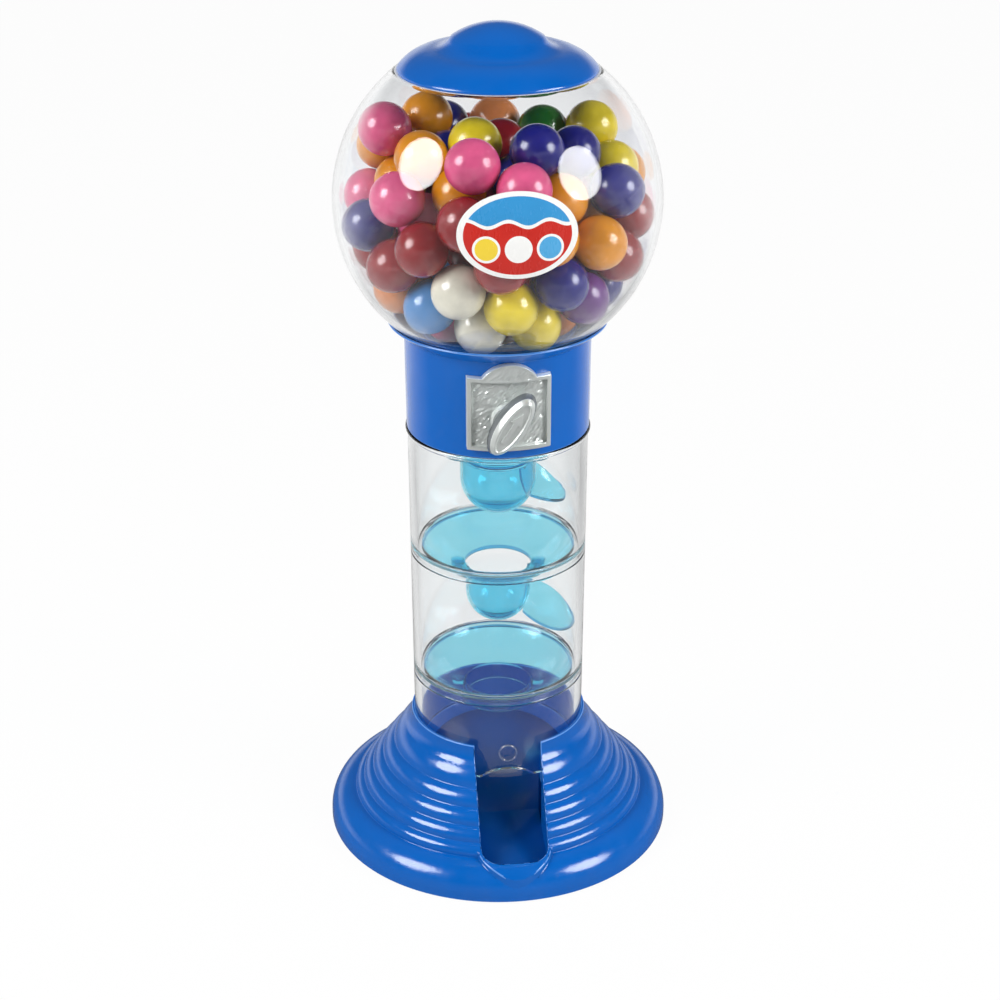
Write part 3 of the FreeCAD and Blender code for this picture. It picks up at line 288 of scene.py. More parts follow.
def moulded_skin():
    """Moulded plastic: slow shade changes, handling smudges and a faint orange-peel height."""
    tree, given, out = effect("moulded_skin", {"Scale": 40.0}, ("Shade", "Smudge", "Height"))
    place = add_node(tree, "ShaderNodeTexCoord").outputs["Object"]
    slow = add_node(
        tree, "ShaderNodeTexNoise", Vector=place, Scale=given["Scale"], Detail=3.0, Roughness=0.55
    )
    fine_scale = maths(tree, "MULTIPLY", given["Scale"], 22.0)
    peel = add_node(tree, "ShaderNodeTexNoise", Vector=place, Scale=fine_scale, Detail=2.0)
    smear = add_node(tree, "ShaderNodeMapping", Vector=place)
    smear.inputs["Scale"].default_value = (1.0, 1.0, 0.25)
    smear.inputs["Rotation"].default_value = (0.3, 0.5, 0.2)
    smudge_scale = maths(tree, "MULTIPLY", given["Scale"], 3.0)
    smudge = add_node(
        tree, "ShaderNodeTexNoise", Vector=smear.outputs[0], Scale=smudge_scale, Detail=6.0, Roughness=0.65
    )
    tree.links.new(slow.outputs[0], out["Shade"])
    tree.links.new(span(tree, smudge.outputs[0], 0.0, 1.0, 0.4, 0.72), out["Smudge"])
    tree.links.new(peel.outputs[0], out["Height"])
    return tree


def hairlines():
    """Fine scratches from handling, in two directions."""
    tree, given, out = effect("hairlines", {"Scale": 300.0}, ("Mask",))
    place = add_node(tree, "ShaderNodeTexCoord").outputs["Object"]
    masks = []
    for turn in (0.5, -0.9):
        lay = add_node(tree, "ShaderNodeMapping", Vector=place)
        lay.inputs["Rotation"].default_value = (turn, 0.2, turn * 1.7)
        lay.inputs["Scale"].default_value = (1.0, 0.05, 0.6)
        line = add_node(tree, "ShaderNodeTexNoise", Vector=lay.outputs[0], Scale=given["Scale"], Detail=1.0)
        masks.append(span(tree, line.outputs[0], 0.0, 1.0, 0.64, 0.74))
    tree.links.new(maths(tree, "MAXIMUM", *masks), out["Mask"])
    return tree


def sugar_shell():
    """A gumball's shell: mottled colour, pale specks and a slightly uneven height."""
    tree, given, out = effect("sugar_shell", {"Scale": 120.0}, ("Mottle", "Speck", "Height"))
    place = add_node(tree, "ShaderNodeTexCoord").outputs["Object"]
    mottle = add_node(
        tree, "ShaderNodeTexNoise", Vector=place, Scale=given["Scale"], Detail=4.0, Roughness=0.6
    )
    speck_scale = maths(tree, "MULTIPLY", given["Scale"], 9.0)
    speck = add_node(tree, "ShaderNodeTexVoronoi", Vector=place, Scale=speck_scale)
    height_scale = maths(tree, "MULTIPLY", given["Scale"], 2.5)
    height = add_node(tree, "ShaderNodeTexNoise", Vector=place, Scale=height_scale, Detail=2.0)
    tree.links.new(span(tree, mottle.outputs[0], 0.0, 1.0, 0.3, 0.7), out["Mottle"])
    tree.links.new(span(tree, speck.outputs["Distance"], 1.0, 0.0, 0.06, 0.16), out["Speck"])
    tree.links.new(height.outputs[0], out["Height"])
    return tree


MOULDED = moulded_skin()
HAIRLINES = hairlines()
SUGAR = sugar_shell()


def use(tree, group, scale):
    """An effect placed in a material."""
    node = tree.nodes.new("ShaderNodeGroup")
    node.node_tree = group
    node.inputs["Scale"].default_value = scale
    return node.outputs


def start_material(name):
    """A material with one Principled shader."""
    material = bpy.data.materials.new(name)
    material.use_nodes = True
    tree = material.node_tree
    tree.nodes.clear()
    shader = tree.nodes.new("ShaderNodeBsdfPrincipled")
    output = tree.nodes.new("ShaderNodeOutputMaterial")
    tree.links.new(shader.outputs[0], output.inputs["Surface"])
    return material, tree, shader, output


def raise_skin(tree, shader, height, distance, strength=0.3):
    """Let a height change a shader's normal."""
    bump = add_node(tree, "ShaderNodeBump", Height=height, Strength=strength, Distance=distance)
    tree.links.new(bump.outputs[0], shader.inputs["Normal"])


def plastic(name, colour, deep, gloss=(0.12, 0.26), scale=40.0, bump=0.00002, specular=0.5):
    """Coloured moulded plastic."""
    material, tree, shader, _ = start_material(name)
    skin = use(tree, MOULDED, scale)
    lines = use(tree, HAIRLINES, 420.0)
    shade = blend(tree, skin["Shade"], deep, colour)
    tree.links.new(shade, shader.inputs["Base Color"])
    worn = maths(tree, "MAXIMUM", skin["Smudge"], maths(tree, "MULTIPLY", lines["Mask"], 0.6))
    tree.links.new(span(tree, worn, gloss[0], gloss[1]), shader.inputs["Roughness"])
    shader.inputs["Specular IOR Level"].default_value = specular
    raise_skin(tree, shader, skin["Height"], bump)
    return material


def clear_plastic(name, colour, thick, gloss=(0.0, 0.05), scale=50.0, ior=1.49, coat=0.0):
    """See-through plastic, which lets lamps through to what is behind it."""
    material, tree, shader, output = start_material(name)
    skin = use(tree, MOULDED, scale)
    lines = use(tree, HAIRLINES, 380.0)
    shade = blend(tree, skin["Shade"], thick, colour)
    tree.links.new(shade, shader.inputs["Base Color"])
    worn = maths(tree, "MAXIMUM", skin["Smudge"], lines["Mask"])
    tree.links.new(span(tree, worn, gloss[0], gloss[1]), shader.inputs["Roughness"])
    shader.inputs["Transmission Weight"].default_value = 1.0
    shader.inputs["IOR"].default_value = ior
    shader.inputs["Coat Weight"].default_value = coat
    raise_skin(tree, shader, skin["Shade"], 0.0002, 0.15)
    path = tree.nodes.new("ShaderNodeLightPath")
    clear = tree.nodes.new("ShaderNodeBsdfTransparent")
    clear.inputs["Color"].default_value = (*colour, 1.0)
    mixer = tree.nodes.new("ShaderNodeMixShader")
    lamps = maths(tree, "MAXIMUM", path.outputs["Is Shadow Ray"], path.outputs["Is Diffuse Ray"])
    tree.links.new(lamps, mixer.inputs[0])
    tree.links.new(shader.outputs[0], mixer.inputs[1])
    tree.links.new(clear.outputs[0], mixer.inputs[2])
    tree.links.new(mixer.outputs[0], output.inputs["Surface"])
    return material


def gum(name, colour):
    """A gumball's hard polished shell."""
    material, tree, shader, _ = start_material(name)
    shell = use(tree, SUGAR, 110.0)
    deep = tuple(c * 0.72 for c in colour)
    pale = tuple(min(c * 1.25 + 0.04, 0.95) for c in colour)
    shade = blend(tree, shell["Mottle"], deep, colour)
    shade = blend(tree, maths(tree, "MULTIPLY", shell["Speck"], 0.35), shade, pale)
    tree.links.new(shade, shader.inputs["Base Color"])
    tree.links.new(span(tree, shell["Mottle"], 0.16, 0.28), shader.inputs["Roughness"])
    shader.inputs["Coat Weight"].default_value = 0.4
    shader.inputs["Coat Roughness"].default_value = 0.08
    raise_skin(tree, shader, shell["Height"], 0.0001, 0.25)
    return material


def silver(name, colour, deep):
    """Silver lacquer over moulded plastic."""
    material, tree, shader, _ = start_material(name)
    skin = use(tree, MOULDED, 90.0)
    lines = use(tree, HAIRLINES, 500.0)
    shade = blend(tree, skin["Shade"], deep, colour)
    tree.links.new(shade, shader.inputs["Base Color"])
    worn = maths(tree, "MAXIMUM", skin["Smudge"], lines["Mask"])
    tree.links.new(span(tree, worn, 0.28, 0.44), shader.inputs["Roughness"])
    shader.inputs["Metallic"].default_value = 0.6
    raise_skin(tree, shader, skin["Height"], 0.0001, 0.2)
    return material


def label_print(name):
    """The label's print: a white border, a red field, a blue band and three discs."""
    material, tree, shader, _ = start_material(name)
    place = add_node(tree, "ShaderNodeTexCoord").outputs["Object"]
    apart = add_node(tree, "ShaderNodeSeparateXYZ", Vector=place).outputs
    across = maths(tree, "MULTIPLY", apart["X"], 1000.0)
    up = maths(tree, "SUBTRACT", maths(tree, "MULTIPLY", apart["Z"], 1000.0), LABEL_Z)
    skin = use(tree, MOULDED, 120.0)
    band_foot, line_foot = 4.0, 3.0
    disc_drop, disc_radius, disc_border = 3.6, 3.2, 3.9
    inner_share = 0.9
    wave = maths(tree, "MULTIPLY", maths(tree, "SINE", maths(tree, "MULTIPLY", across, 0.55)), 0.9)
    band = maths(tree, "GREATER_THAN", maths(tree, "ADD", up, wave), band_foot)
    line = maths(tree, "GREATER_THAN", maths(tree, "ADD", up, wave), line_foot)
    red = blend(tree, skin["Shade"], (0.50, 0.018, 0.012), (0.62, 0.03, 0.02))
    blue = blend(tree, skin["Shade"], (0.03, 0.25, 0.55), (0.05, 0.32, 0.65))
    shade = blend(tree, line, red, (0.85, 0.85, 0.83))
    shade = blend(tree, band, shade, blue)
    for x, colour in ((-9.0, (0.85, 0.62, 0.05)), (0.0, (0.86, 0.86, 0.84)), (9.0, (0.08, 0.38, 0.70))):
        beside = maths(tree, "POWER", maths(tree, "SUBTRACT", across, x), 2.0)
        below = maths(tree, "POWER", maths(tree, "ADD", up, disc_drop), 2.0)
        away = maths(tree, "ADD", beside, below)
        shade = blend(tree, maths(tree, "LESS_THAN", away, disc_border ** 2), shade, (0.88, 0.88, 0.86))
        shade = blend(tree, maths(tree, "LESS_THAN", away, disc_radius ** 2), shade, colour)
    side = maths(tree, "POWER", maths(tree, "DIVIDE", across, LABEL_HALF_WIDTH), 2.0)
    rise = maths(tree, "POWER", maths(tree, "DIVIDE", up, LABEL_HALF_HEIGHT), 2.0)
    edge = maths(tree, "GREATER_THAN", maths(tree, "ADD", side, rise), inner_share ** 2)
    shade = blend(tree, edge, shade, (0.86, 0.86, 0.84))
    tree.links.new(shade, shader.inputs["Base Color"])
    tree.links.new(span(tree, skin["Smudge"], 0.22, 0.36), shader.inputs["Roughness"])
    raise_skin(tree, shader, skin["Height"], 0.00002)
    return material


BLUE = plastic("blue_plastic", (0.001, 0.128, 0.530), (0.0005, 0.106, 0.455), specular=0.75)
# A paler blue for edges that stand out: a painted highlight.
PAINTED_HIGHLIGHT_BLUE = plastic("painted_highlight_blue_edge", (0.13, 0.33, 0.78), (0.10, 0.28, 0.70), specular=0.75)
# A darker blue of the same plastic: painted shade for the chute's floor inside the slot.
PAINTED_SHADE_BLUE = plastic("painted_shade_blue_plastic", (0.0006, 0.066, 0.30), (0.0004, 0.055, 0.255), specular=0.75)
DARK_BLUE = plastic(
    "dark_plastic", (0.012, 0.075, 0.30), (0.008, 0.05, 0.22), gloss=(0.4, 0.6), bump=0.00006
)
CLEAR = clear_plastic("clear_plastic", (0.985, 0.99, 0.995), (0.96, 0.97, 0.98))
# Pale opaque plastic for the globe's mouth rim: a painted highlight line in place of the clear rim's shine.
PAINTED_RIM_HIGHLIGHT = plastic("painted_highlight_rim", (0.86, 0.88, 0.90), (0.78, 0.80, 0.82), gloss=(0.2, 0.4))
CLEAR_TUBE = clear_plastic("clear_tube", (0.955, 0.965, 0.968), (0.92, 0.935, 0.94))
FLANGE = clear_plastic("clear_flange", (0.955, 0.965, 0.968), (0.92, 0.935, 0.94), ior=1.1, coat=0.6)
CYAN = clear_plastic(
    "cyan_plastic", (0.36, 0.83, 0.95), (0.25, 0.74, 0.90), gloss=(0.03, 0.10), ior=1.08, coat=0.8
)
# A deeper blue for the edges of the cyan pieces: painted shade where refraction darkens a clear edge.
PAINTED_SHADE_CYAN_EDGE = clear_plastic(
    "cyan_edge_painted_shade", (0.03, 0.30, 0.62), (0.02, 0.22, 0.50), gloss=(0.03, 0.10), ior=1.08, coat=0.8
)
WHITE = plastic("white_plastic", (0.74, 0.75, 0.75), (0.66, 0.67, 0.68), gloss=(0.35, 0.5))
SILVER = silver("silver_plastic", (0.86, 0.90, 0.88), (0.72, 0.76, 0.74))
# A darker silver: painted shade on the knob's flank.
PAINTED_SHADE_SILVER = silver("painted_shade_silver", (0.26, 0.28, 0.29), (0.20, 0.22, 0.23))
STEEL = silver("screw_steel", (0.55, 0.56, 0.57), (0.44, 0.45, 0.46))
RUBBER = plastic(
    "black_rubber", (0.035, 0.035, 0.035), (0.02, 0.02, 0.02), gloss=(0.6, 0.8), bump=0.0001
)
LABEL = label_print("label_print")
GUM = {
    "orange": (0.80, 0.30, 0.005),
    "red": (0.30, 0.008, 0.012),
    "navy": (0.012, 0.012, 0.20),
    "yellow": (0.82, 0.64, 0.02),
    "green": (0.015, 0.16, 0.014),
    "pink": (0.80, 0.11, 0.27),
    "white": (0.84, 0.80, 0.66),
    "peach": (0.88, 0.30, 0.09),
    "sky": (0.07, 0.27, 0.62),
    "purple": (0.13, 0.018, 0.22),
}


# Lid and globe
def make_lid():
    """A brim with a low dome, and a skirt that stands in the globe's mouth."""
    dome = (13.7, MOUTH_Z + 9.45)
    brim = MOUTH_OUTER - 0.65
    top = MOUTH_Z + 13.7
    wall = 1.8
    inside = (12.9, MOUTH_Z + 7.3)
    skirt, skirt_inner, skirt_low = 26.6, 24.8, MOUTH_Z - 1.6
    shape = lathe([
        (skirt, MOUTH_Z),
        (brim, MOUTH_Z),
        (brim, MOUTH_Z + 0.7, 1.2),
        (19.4, MOUTH_Z + 6.0, -0.9),
        dome + (1.05,),
        (0, top),
        (0, top - wall, -1.1),
        inside,
        (16.4, MOUTH_Z + 4.7, -1.2),
        (skirt_inner, MOUTH_Z),
        (skirt_inner, skirt_low),
        (skirt, skirt_low),
    ])
    soften(shape, 0.3, 40.0)
    piece("lid", shape, BLUE, "lid", "blue_plastic", "lid")


def make_globe():
    """A clear ball with a neck below and a mouth above, its rim painted pale as a highlight line."""
    neck_top = (NECK_RADIUS, GLOBE_Z - math.sqrt(GLOBE_RADIUS ** 2 - NECK_RADIUS ** 2))
    neck_inner = (NECK_BORE, GLOBE_Z - math.sqrt(GLOBE_INNER ** 2 - NECK_BORE ** 2))
    rim = (MOUTH_OUTER, MOUTH_Z)
    rim_inner = (MOUTH_RADIUS, MOUTH_Z)
    neck_low = neck_top[1] - NECK_LENGTH
    shape = lathe([
        (NECK_BORE, neck_low),
        (NECK_RADIUS, neck_low),
        neck_top + (ball_bow(GLOBE_RADIUS, neck_top, rim),),
        rim,
        rim_inner + (-ball_bow(GLOBE_INNER, rim_inner, neck_inner),),
        neck_inner,
    ], steps=192)
    soften(shape, 0.35, 40.0)
    # The rim's top strip gets the pale plastic: a painted highlight line.
    for face in shape.faces:
        face.material_index = int(face.calc_center_median().z > (MOUTH_Z - RIM_HIGHLIGHT_STRIP) * MM)
    piece("globe", shape, (CLEAR, PAINTED_RIM_HIGHLIGHT), "machine", "clear_plastic", "globe")


def island_centres(node):
    """The middle of each ball in a solid that holds several."""
    shape = bmesh.new()
    shape.from_mesh(node.data)
    bmesh.ops.remove_doubles(shape, verts=shape.verts, dist=1e-6)
    left = set(shape.verts)
    centres = []
    while left:
        ball = {left.pop()}
        edge = set(ball)
        while edge:
            edge = {e.other_vert(v) for v in edge for e in v.link_edges} - ball
            ball |= edge
        left -= ball
        low = Vector(min(v.co[i] for v in ball) for i in range(3))
        high = Vector(max(v.co[i] for v in ball) for i in range(3))
        centres.append((low + high) / 2)
    shape.free()
    return sorted(centres, key=lambda c: tuple(round(x, 5) for x in c))


def lump(place):
    """The unevenness of a gumball's shell at a place."""
    return noise.noise(place * 140.0) * 0.5 + noise.noise(place * 420.0) * 0.2


def make_gumballs():
    """Slightly uneven balls where each colour's solid balls are."""
    for colour, tint in GUM.items():
        node = f"gumballs_{colour}"
        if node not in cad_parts:
            continue
        shape = bmesh.new()
        for centre in island_centres(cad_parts[node]):
            ball = bmesh.ops.create_icosphere(
                shape, subdivisions=4, radius=GUMBALL_RADIUS * MM, matrix=Matrix.Translation(centre)
            )
            for vert in ball["verts"]:
                vert.co = centre + (vert.co - centre) * (1.0 - 0.012 * abs(lump(vert.co)))
        piece(node, shape, gum(f"gum_{colour}", tint), "machine", f"gum_{colour}", node, crease=60.0)


# Label on the front of the globe
def cut_strips(shape, axis, low, high, count):
    """Cut the faces of a shape into strips across an axis."""
    for k in range(1, count):
        at = Vector((0, 0, 0))
        at[axis] = (low + (high - low) * k / count) * MM
        across = Vector((0, 0, 0))
        across[axis] = 1.0
        everything = list(shape.verts) + list(shape.edges) + list(shape.faces)
        bmesh.ops.bisect_plane(shape, geom=everything, dist=1e-7, plane_co=at, plane_no=across)


def make_label():
    """A thin oval patch that follows the globe's front."""
    lift, thickness = 0.02, 0.26
    shape = bmesh.new()
    upright = Matrix.Rotation(math.pi / 2, 4, "X")
    bmesh.ops.create_circle(shape, cap_ends=True, segments=96, radius=1.0, matrix=upright)
    for vert in shape.verts:
        vert.co = Vector((vert.co.x * LABEL_HALF_WIDTH, 0, vert.co.z * LABEL_HALF_HEIGHT + LABEL_Z)) * MM
    cut_strips(shape, 0, -LABEL_HALF_WIDTH, LABEL_HALF_WIDTH, 20)
    cut_strips(shape, 2, LABEL_Z - LABEL_HALF_HEIGHT, LABEL_Z + LABEL_HALF_HEIGHT, 16)
    for vert in shape.verts:
        rise = vert.co.z - GLOBE_Z * MM
        vert.co.y = -math.sqrt(((GLOBE_RADIUS + lift) * MM) ** 2 - vert.co.x ** 2 - rise ** 2)
    bmesh.ops.recalc_face_normals(shape, faces=shape.faces)
    if sum(face.normal.y for face in shape.faces) > 0:
        bmesh.ops.reverse_faces(shape, faces=shape.faces)
    bmesh.ops.solidify(shape, geom=list(shape.faces), thickness=-thickness * MM)
    tidy(shape)
    piece("front_label", shape, LABEL, "machine", "label", "front_label")


# Tube lengths
def tube_outer(z):
    """The tube's outer radius, which grows with height."""
    return TUBE_LOW_RADIUS + TUBE_WIDENING * (z - TUBE_SEAT) / (COLLAR_Z - TUBE_SEAT)


def make_tube(name, low, high, spigot, socket, arch=False, bead=0.0):
    """A length of tube, with a spigot above, and below it a socket or a plain end."""
    seam = SEAM if socket else 0.0
    socket_radius = tube_outer(low) - JOINT_LAP + SEAM
    corners = [(tube_outer(low), low + seam)]
    if bead:
        corners += [
            (tube_outer(high), high - 1.7),
            (tube_outer(high) + bead, high - 1.3, bead / 2),
            (tube_outer(high) + bead, high - 0.2),
        ]
    corners += [
        (tube_outer(high), high),
        (tube_outer(high) - JOINT_LAP, high),
        (tube_outer(high) - JOINT_LAP, high + spigot),
        (tube_outer(high) - TUBE_WALL, high + spigot),
    ]
    if socket:
        corners += [
            (tube_outer(low) - TUBE_WALL, low + JOINT_SOCKET),
            (socket_radius, low + JOINT_SOCKET),
            (socket_radius, low + seam),
        ]
    else:
        corners += [(tube_outer(low) - TUBE_WALL, low)]
    shape = lathe(corners, steps=192)
    if arch:
        raise_arch(shape)
    soften(shape, 0.22, 40.0)
    for face in shape.faces:
        middle = face.calc_center_median() / MM
        wall = tube_outer(middle.z) - math.hypot(middle.x, middle.y)
        in_joint = middle.z < low + JOINT_SOCKET + 2 * SEAM
        in_socket = socket and in_joint and (wall > 0.3 or middle.z < low + 2 * SEAM)
        face.material_index = int(in_socket or middle.z > high - 0.02)
    if arch:
        gate_mark(shape)
    piece(name, shape, (CLEAR_TUBE, FLANGE), "machine", "clear_plastic", name)


def raise_arch(shape):
    """The low arch in the tube's front edge, where a gumball rolls out."""
    half, height = 8.4, 3.4
    radius = (half * half + height * height) / (2 * height)
    for vert in shape.verts:
        across = abs(vert.co.x) / MM
        if vert.co.y < 0 and across < half and vert.co.z < (TUBE_SEAT + 0.1) * MM:
            vert.co.z = (TUBE_SEAT + height - radius + math.sqrt(radius ** 2 - across ** 2)) * MM


def gate_mark(shape):
    """The small raised ring that moulding leaves on the tube's front."""
    height, ring = 37.5, 2.8
    wall = tube_outer(height)
    middle = Vector((0, -wall - 0.02, height)) * MM
    mark = bmesh.new()
    aside = Matrix.Translation((ring * MM, 0, 0))
    upright = Matrix.Rotation(math.pi / 2, 4, "X")
    rim = bmesh.ops.create_circle(mark, segments=10, radius=0.28 * MM, matrix=aside @ upright)
    spin_row(mark, rim["verts"] + list(mark.edges), (0, 0, 1), 40)
    bmesh.ops.transform(mark, matrix=Matrix.Translation(middle) @ upright, verts=mark.verts)
    for vert in mark.verts:
        vert.co.y += wall * MM - math.sqrt((wall * MM) ** 2 - vert.co.x ** 2)
    join(shape, mark)


# Funnels and cups
def make_funnel(name, joint, throat=0.0):
    """A dish with a hole, its flange in the tube's joint, and two bosses for a cup's ears."""
    under = joint + JOINT_SPIGOT + SEAM
    top = joint + JOINT_SOCKET - SEAM
    hole = joint - FUNNEL_HOLE_DROP
    hole_low = hole - FUNNEL_HOLE_EDGE - throat
    rim = tube_outer(joint) - JOINT_LAP
    shape = lathe([
        (rim, under),
        (rim, top),
        (FUNNEL_RIM, top, -1.8),
        (FUNNEL_HOLE, hole),
        (FUNNEL_HOLE, hole_low),
        (FUNNEL_HOLE_OUTER, hole_low),
        (FUNNEL_HOLE_OUTER, hole - 1.0, 1.7),
        (24.5, under),
    ])
    soften(shape, 0.2)
    # Rim and hole edges get the deeper blue as painted shade; the flange gets clear plastic.
    for face in shape.faces:
        middle = face.calc_center_median() / MM
        radius = math.hypot(middle.x, middle.y)
        at_hole = radius < FUNNEL_HOLE + 0.22 and middle.z > hole - 1.0
        if radius > FUNNEL_RIM + 0.25:
            face.material_index = 2
        elif at_hole or radius > FUNNEL_RIM - 0.25:
            face.material_index = 1
    for turn in EAR_TURNS:
        angle = math.radians(turn)
        x, y = math.cos(angle) * EAR_CIRCLE, math.sin(angle) * EAR_CIRCLE
        middle = Vector((x, y, hole - EAR_THICKNESS / 2))
        bmesh.ops.create_cone(
            shape, cap_ends=True, segments=24, radius1=EAR_RADIUS * MM, radius2=EAR_RADIUS * MM,
            depth=EAR_THICKNESS * MM, matrix=Matrix.Translation(middle * MM)
        )
    piece(name, shape, (CYAN, PAINTED_SHADE_CYAN_EDGE, FLANGE), "machine", "cyan_plastic", name)


def make_cup(name, rim, turn, radius, depth, low_side, drop):
    """A round-bottomed bowl, low on one side, with a leaf-shaped wing and the ears that hold it up."""
    inner = radius - CUP_WALL
    middle = rim - depth + radius
    quarter = 1 - math.sqrt(0.5)
    shape = lathe([
        (0, rim - depth, radius * quarter),
        (radius, middle),
        (radius, rim),
        (inner, rim),
        (inner, middle, -inner * quarter),
        (0, rim - depth + CUP_WALL),
    ], steps=96)
    for vert in shape.verts:
        bearing = math.degrees(math.atan2(vert.co.y, vert.co.x))
        if low_side[0] < bearing < low_side[1]:
            vert.co.z = min(vert.co.z, (rim - drop) * MM)
    shape.normal_update()
    # Flat rim tops get the deeper blue: painted shade at the edge.
    for face in shape.faces:
        on_top = face.calc_center_median().z > (rim - 0.3) * MM
        face.material_index = int(on_top and abs(face.normal.z) > 0.9)
    placing = Matrix.Translation((0, 0, middle * MM)) @ Matrix.Rotation(math.radians(turn), 4, "Z")
    join(shape, make_wing(radius, placing))
    join(shape, make_ears(name, rim))
    piece(name, shape, (CYAN, PAINTED_SHADE_CYAN_EDGE), "machine", "cyan_plastic", name)


def curve_point(handles, share):
    """A place along a curve that has four handles."""
    a, b, c, d = handles
    left = 1 - share
    return a * left ** 3 + b * 3 * left ** 2 * share + c * 3 * left * share ** 2 + d * share ** 3


def make_wing(radius, placing):
    """A hollow leaf with its edge painted a deeper blue as shade, beside a bowl whose round bottom is
    centred on the origin.
    """
    tip = Vector((24.0, -3.0, -9.6))
    front_root = Vector((0.77, -0.30, -0.62)) * radius
    back_root = Vector((0.93, 0.14, 0.20)) * radius
    front = [front_root, Vector((14.0, -9.0, -9.5)), Vector((22.5, -10.5, -12.0)), tip]
    back = [back_root, Vector((16.0, 5.0, 0.5)), Vector((22.5, 4.5, -4.5)), tip]
    steps, strips, depth = 32, 14, 0.2
    shape = bmesh.new()
    rows = []
    for k in range(steps + 1):
        low, high = curve_point(front, k / steps), curve_point(back, k / steps)
        chord = high - low
        hollow = Vector((0, chord.z, -chord.y)) * depth
        shares = [j / strips for j in range(strips + 1)]
        rows.append([shape.verts.new((low + chord * t + hollow * 4 * t * (1 - t)) * MM) for t in shares])
    for row, after in zip(rows, rows[1:]):
        for j in range(strips):
            shape.faces.new((row[j], after[j], after[j + 1], row[j + 1]))
    bmesh.ops.remove_doubles(shape, verts=shape.verts, dist=1e-6)
    shape.normal_update()
    sheet = list(shape.faces)
    grown = bmesh.ops.extrude_face_region(shape, geom=sheet)["geom"]
    for vert in points_of(grown):
        vert.co -= vert.normal * CUP_WALL * MM
    # The leaf's cut edges get the deeper blue: painted shade at the edge.
    sides = set(sheet) | set(grown)
    for face in shape.faces:
        face.material_index = int(face not in sides)
    bmesh.ops.recalc_face_normals(shape, faces=shape.faces)
    bmesh.ops.transform(shape, matrix=placing, verts=shape.verts)
    return shape


def make_ears(name, rim):
    """The ears of a cup, as they are in its solid."""
    shape = from_solid(name)
    rest = [
        face for face in shape.faces
        if face.calc_center_median().z < (rim - EAR_THICKNESS - 0.05) * MM
        or face.calc_center_median().xy.length < (CUP_RADIUS + 0.1) * MM
    ]
    bmesh.ops.delete(shape, geom=rest, context="FACES")
    return shape


# Collar, base and chute
def make_rounded(name, width):
    """A solid with its edges rounded, and painted paler where they stand out, as highlights."""
    shape = from_solid(name)
    rounded = soften(shape, width, clamp=False)
    shape.normal_update()
    for face in rounded:
        hollow = min(edge.calc_face_angle_signed(0) for edge in face.edges)
        # Convex roundings get the paler blue: a painted highlight along the edges.
        face.material_index = int(hollow > -0.15)
    piece(name, shape, (BLUE, PAINTED_HIGHLIGHT_BLUE), "machine", "blue_plastic", name, weighed=True)


def make_ramp():
    """The chute's floor, drawn out to the slot's walls, in a darker blue that paints the shade inside the
    slot.
    """
    shape = from_solid("chute_ramp")
    for vert in shape.verts:
        vert.co.x *= RAMP_DRAW
    soften(shape, 0.15, segments=1)
    # The darker blue is painted shade, not a different plastic.
    piece("chute_ramp", shape, PAINTED_SHADE_BLUE, "machine", "blue_plastic", "chute_ramp")


def make_well():
    """The round wall between the tube's seat and the chute's floor, open to the slot."""
    inner, outer = 25.3, 26.4
    low, high = 6.0, 26.0
    shape = lathe([(inner, low), (outer, low), (outer, high), (inner, high)])
    front = [
        face for face in shape.faces
        if face.calc_center_median().y < 0 and abs(face.calc_center_median().x) < SLOT_HALF * MM
    ]
    bmesh.ops.delete(shape, geom=front, context="FACES")
    piece("chute_well", shape, BLUE, "machine", "blue_plastic")


# Front plate
def plate_outline():
    """The plate from the front: a rectangle with an arched top."""
    half, rise = PLATE_ARCH_HALF, PLATE_ARCH_RISE
    radius = (half * half + rise * rise) / (2 * rise)
    middle = PLATE_HIGH + rise - radius
    corners = [(-PLATE_HALF, PLATE_LOW), (PLATE_HALF, PLATE_LOW), (PLATE_HALF, PLATE_HIGH)]
    reach = math.asin(half / radius)
    steps = 12
    for k in range(2 * steps + 1):
        turn = reach * (1 - k / steps)
        corners.append((radius * math.sin(turn), middle + radius * math.cos(turn)))
    return corners + [(-PLATE_HALF, PLATE_HIGH)]


def hammer(x, z):
    """Depth of the hammered strokes at a place on the plate."""
    length, width = 1.9, 0.62
    along = (x * 0.75 + z * 0.66) / length
    across = (x * 0.66 - z * 0.75) / width
    stroke = noise.noise(Vector((along, across, 3.7)))
    grain = noise.noise(Vector((x * 2.9, z * 2.9, 8.1)))
    return 0.42 * stroke + 0.14 * grain


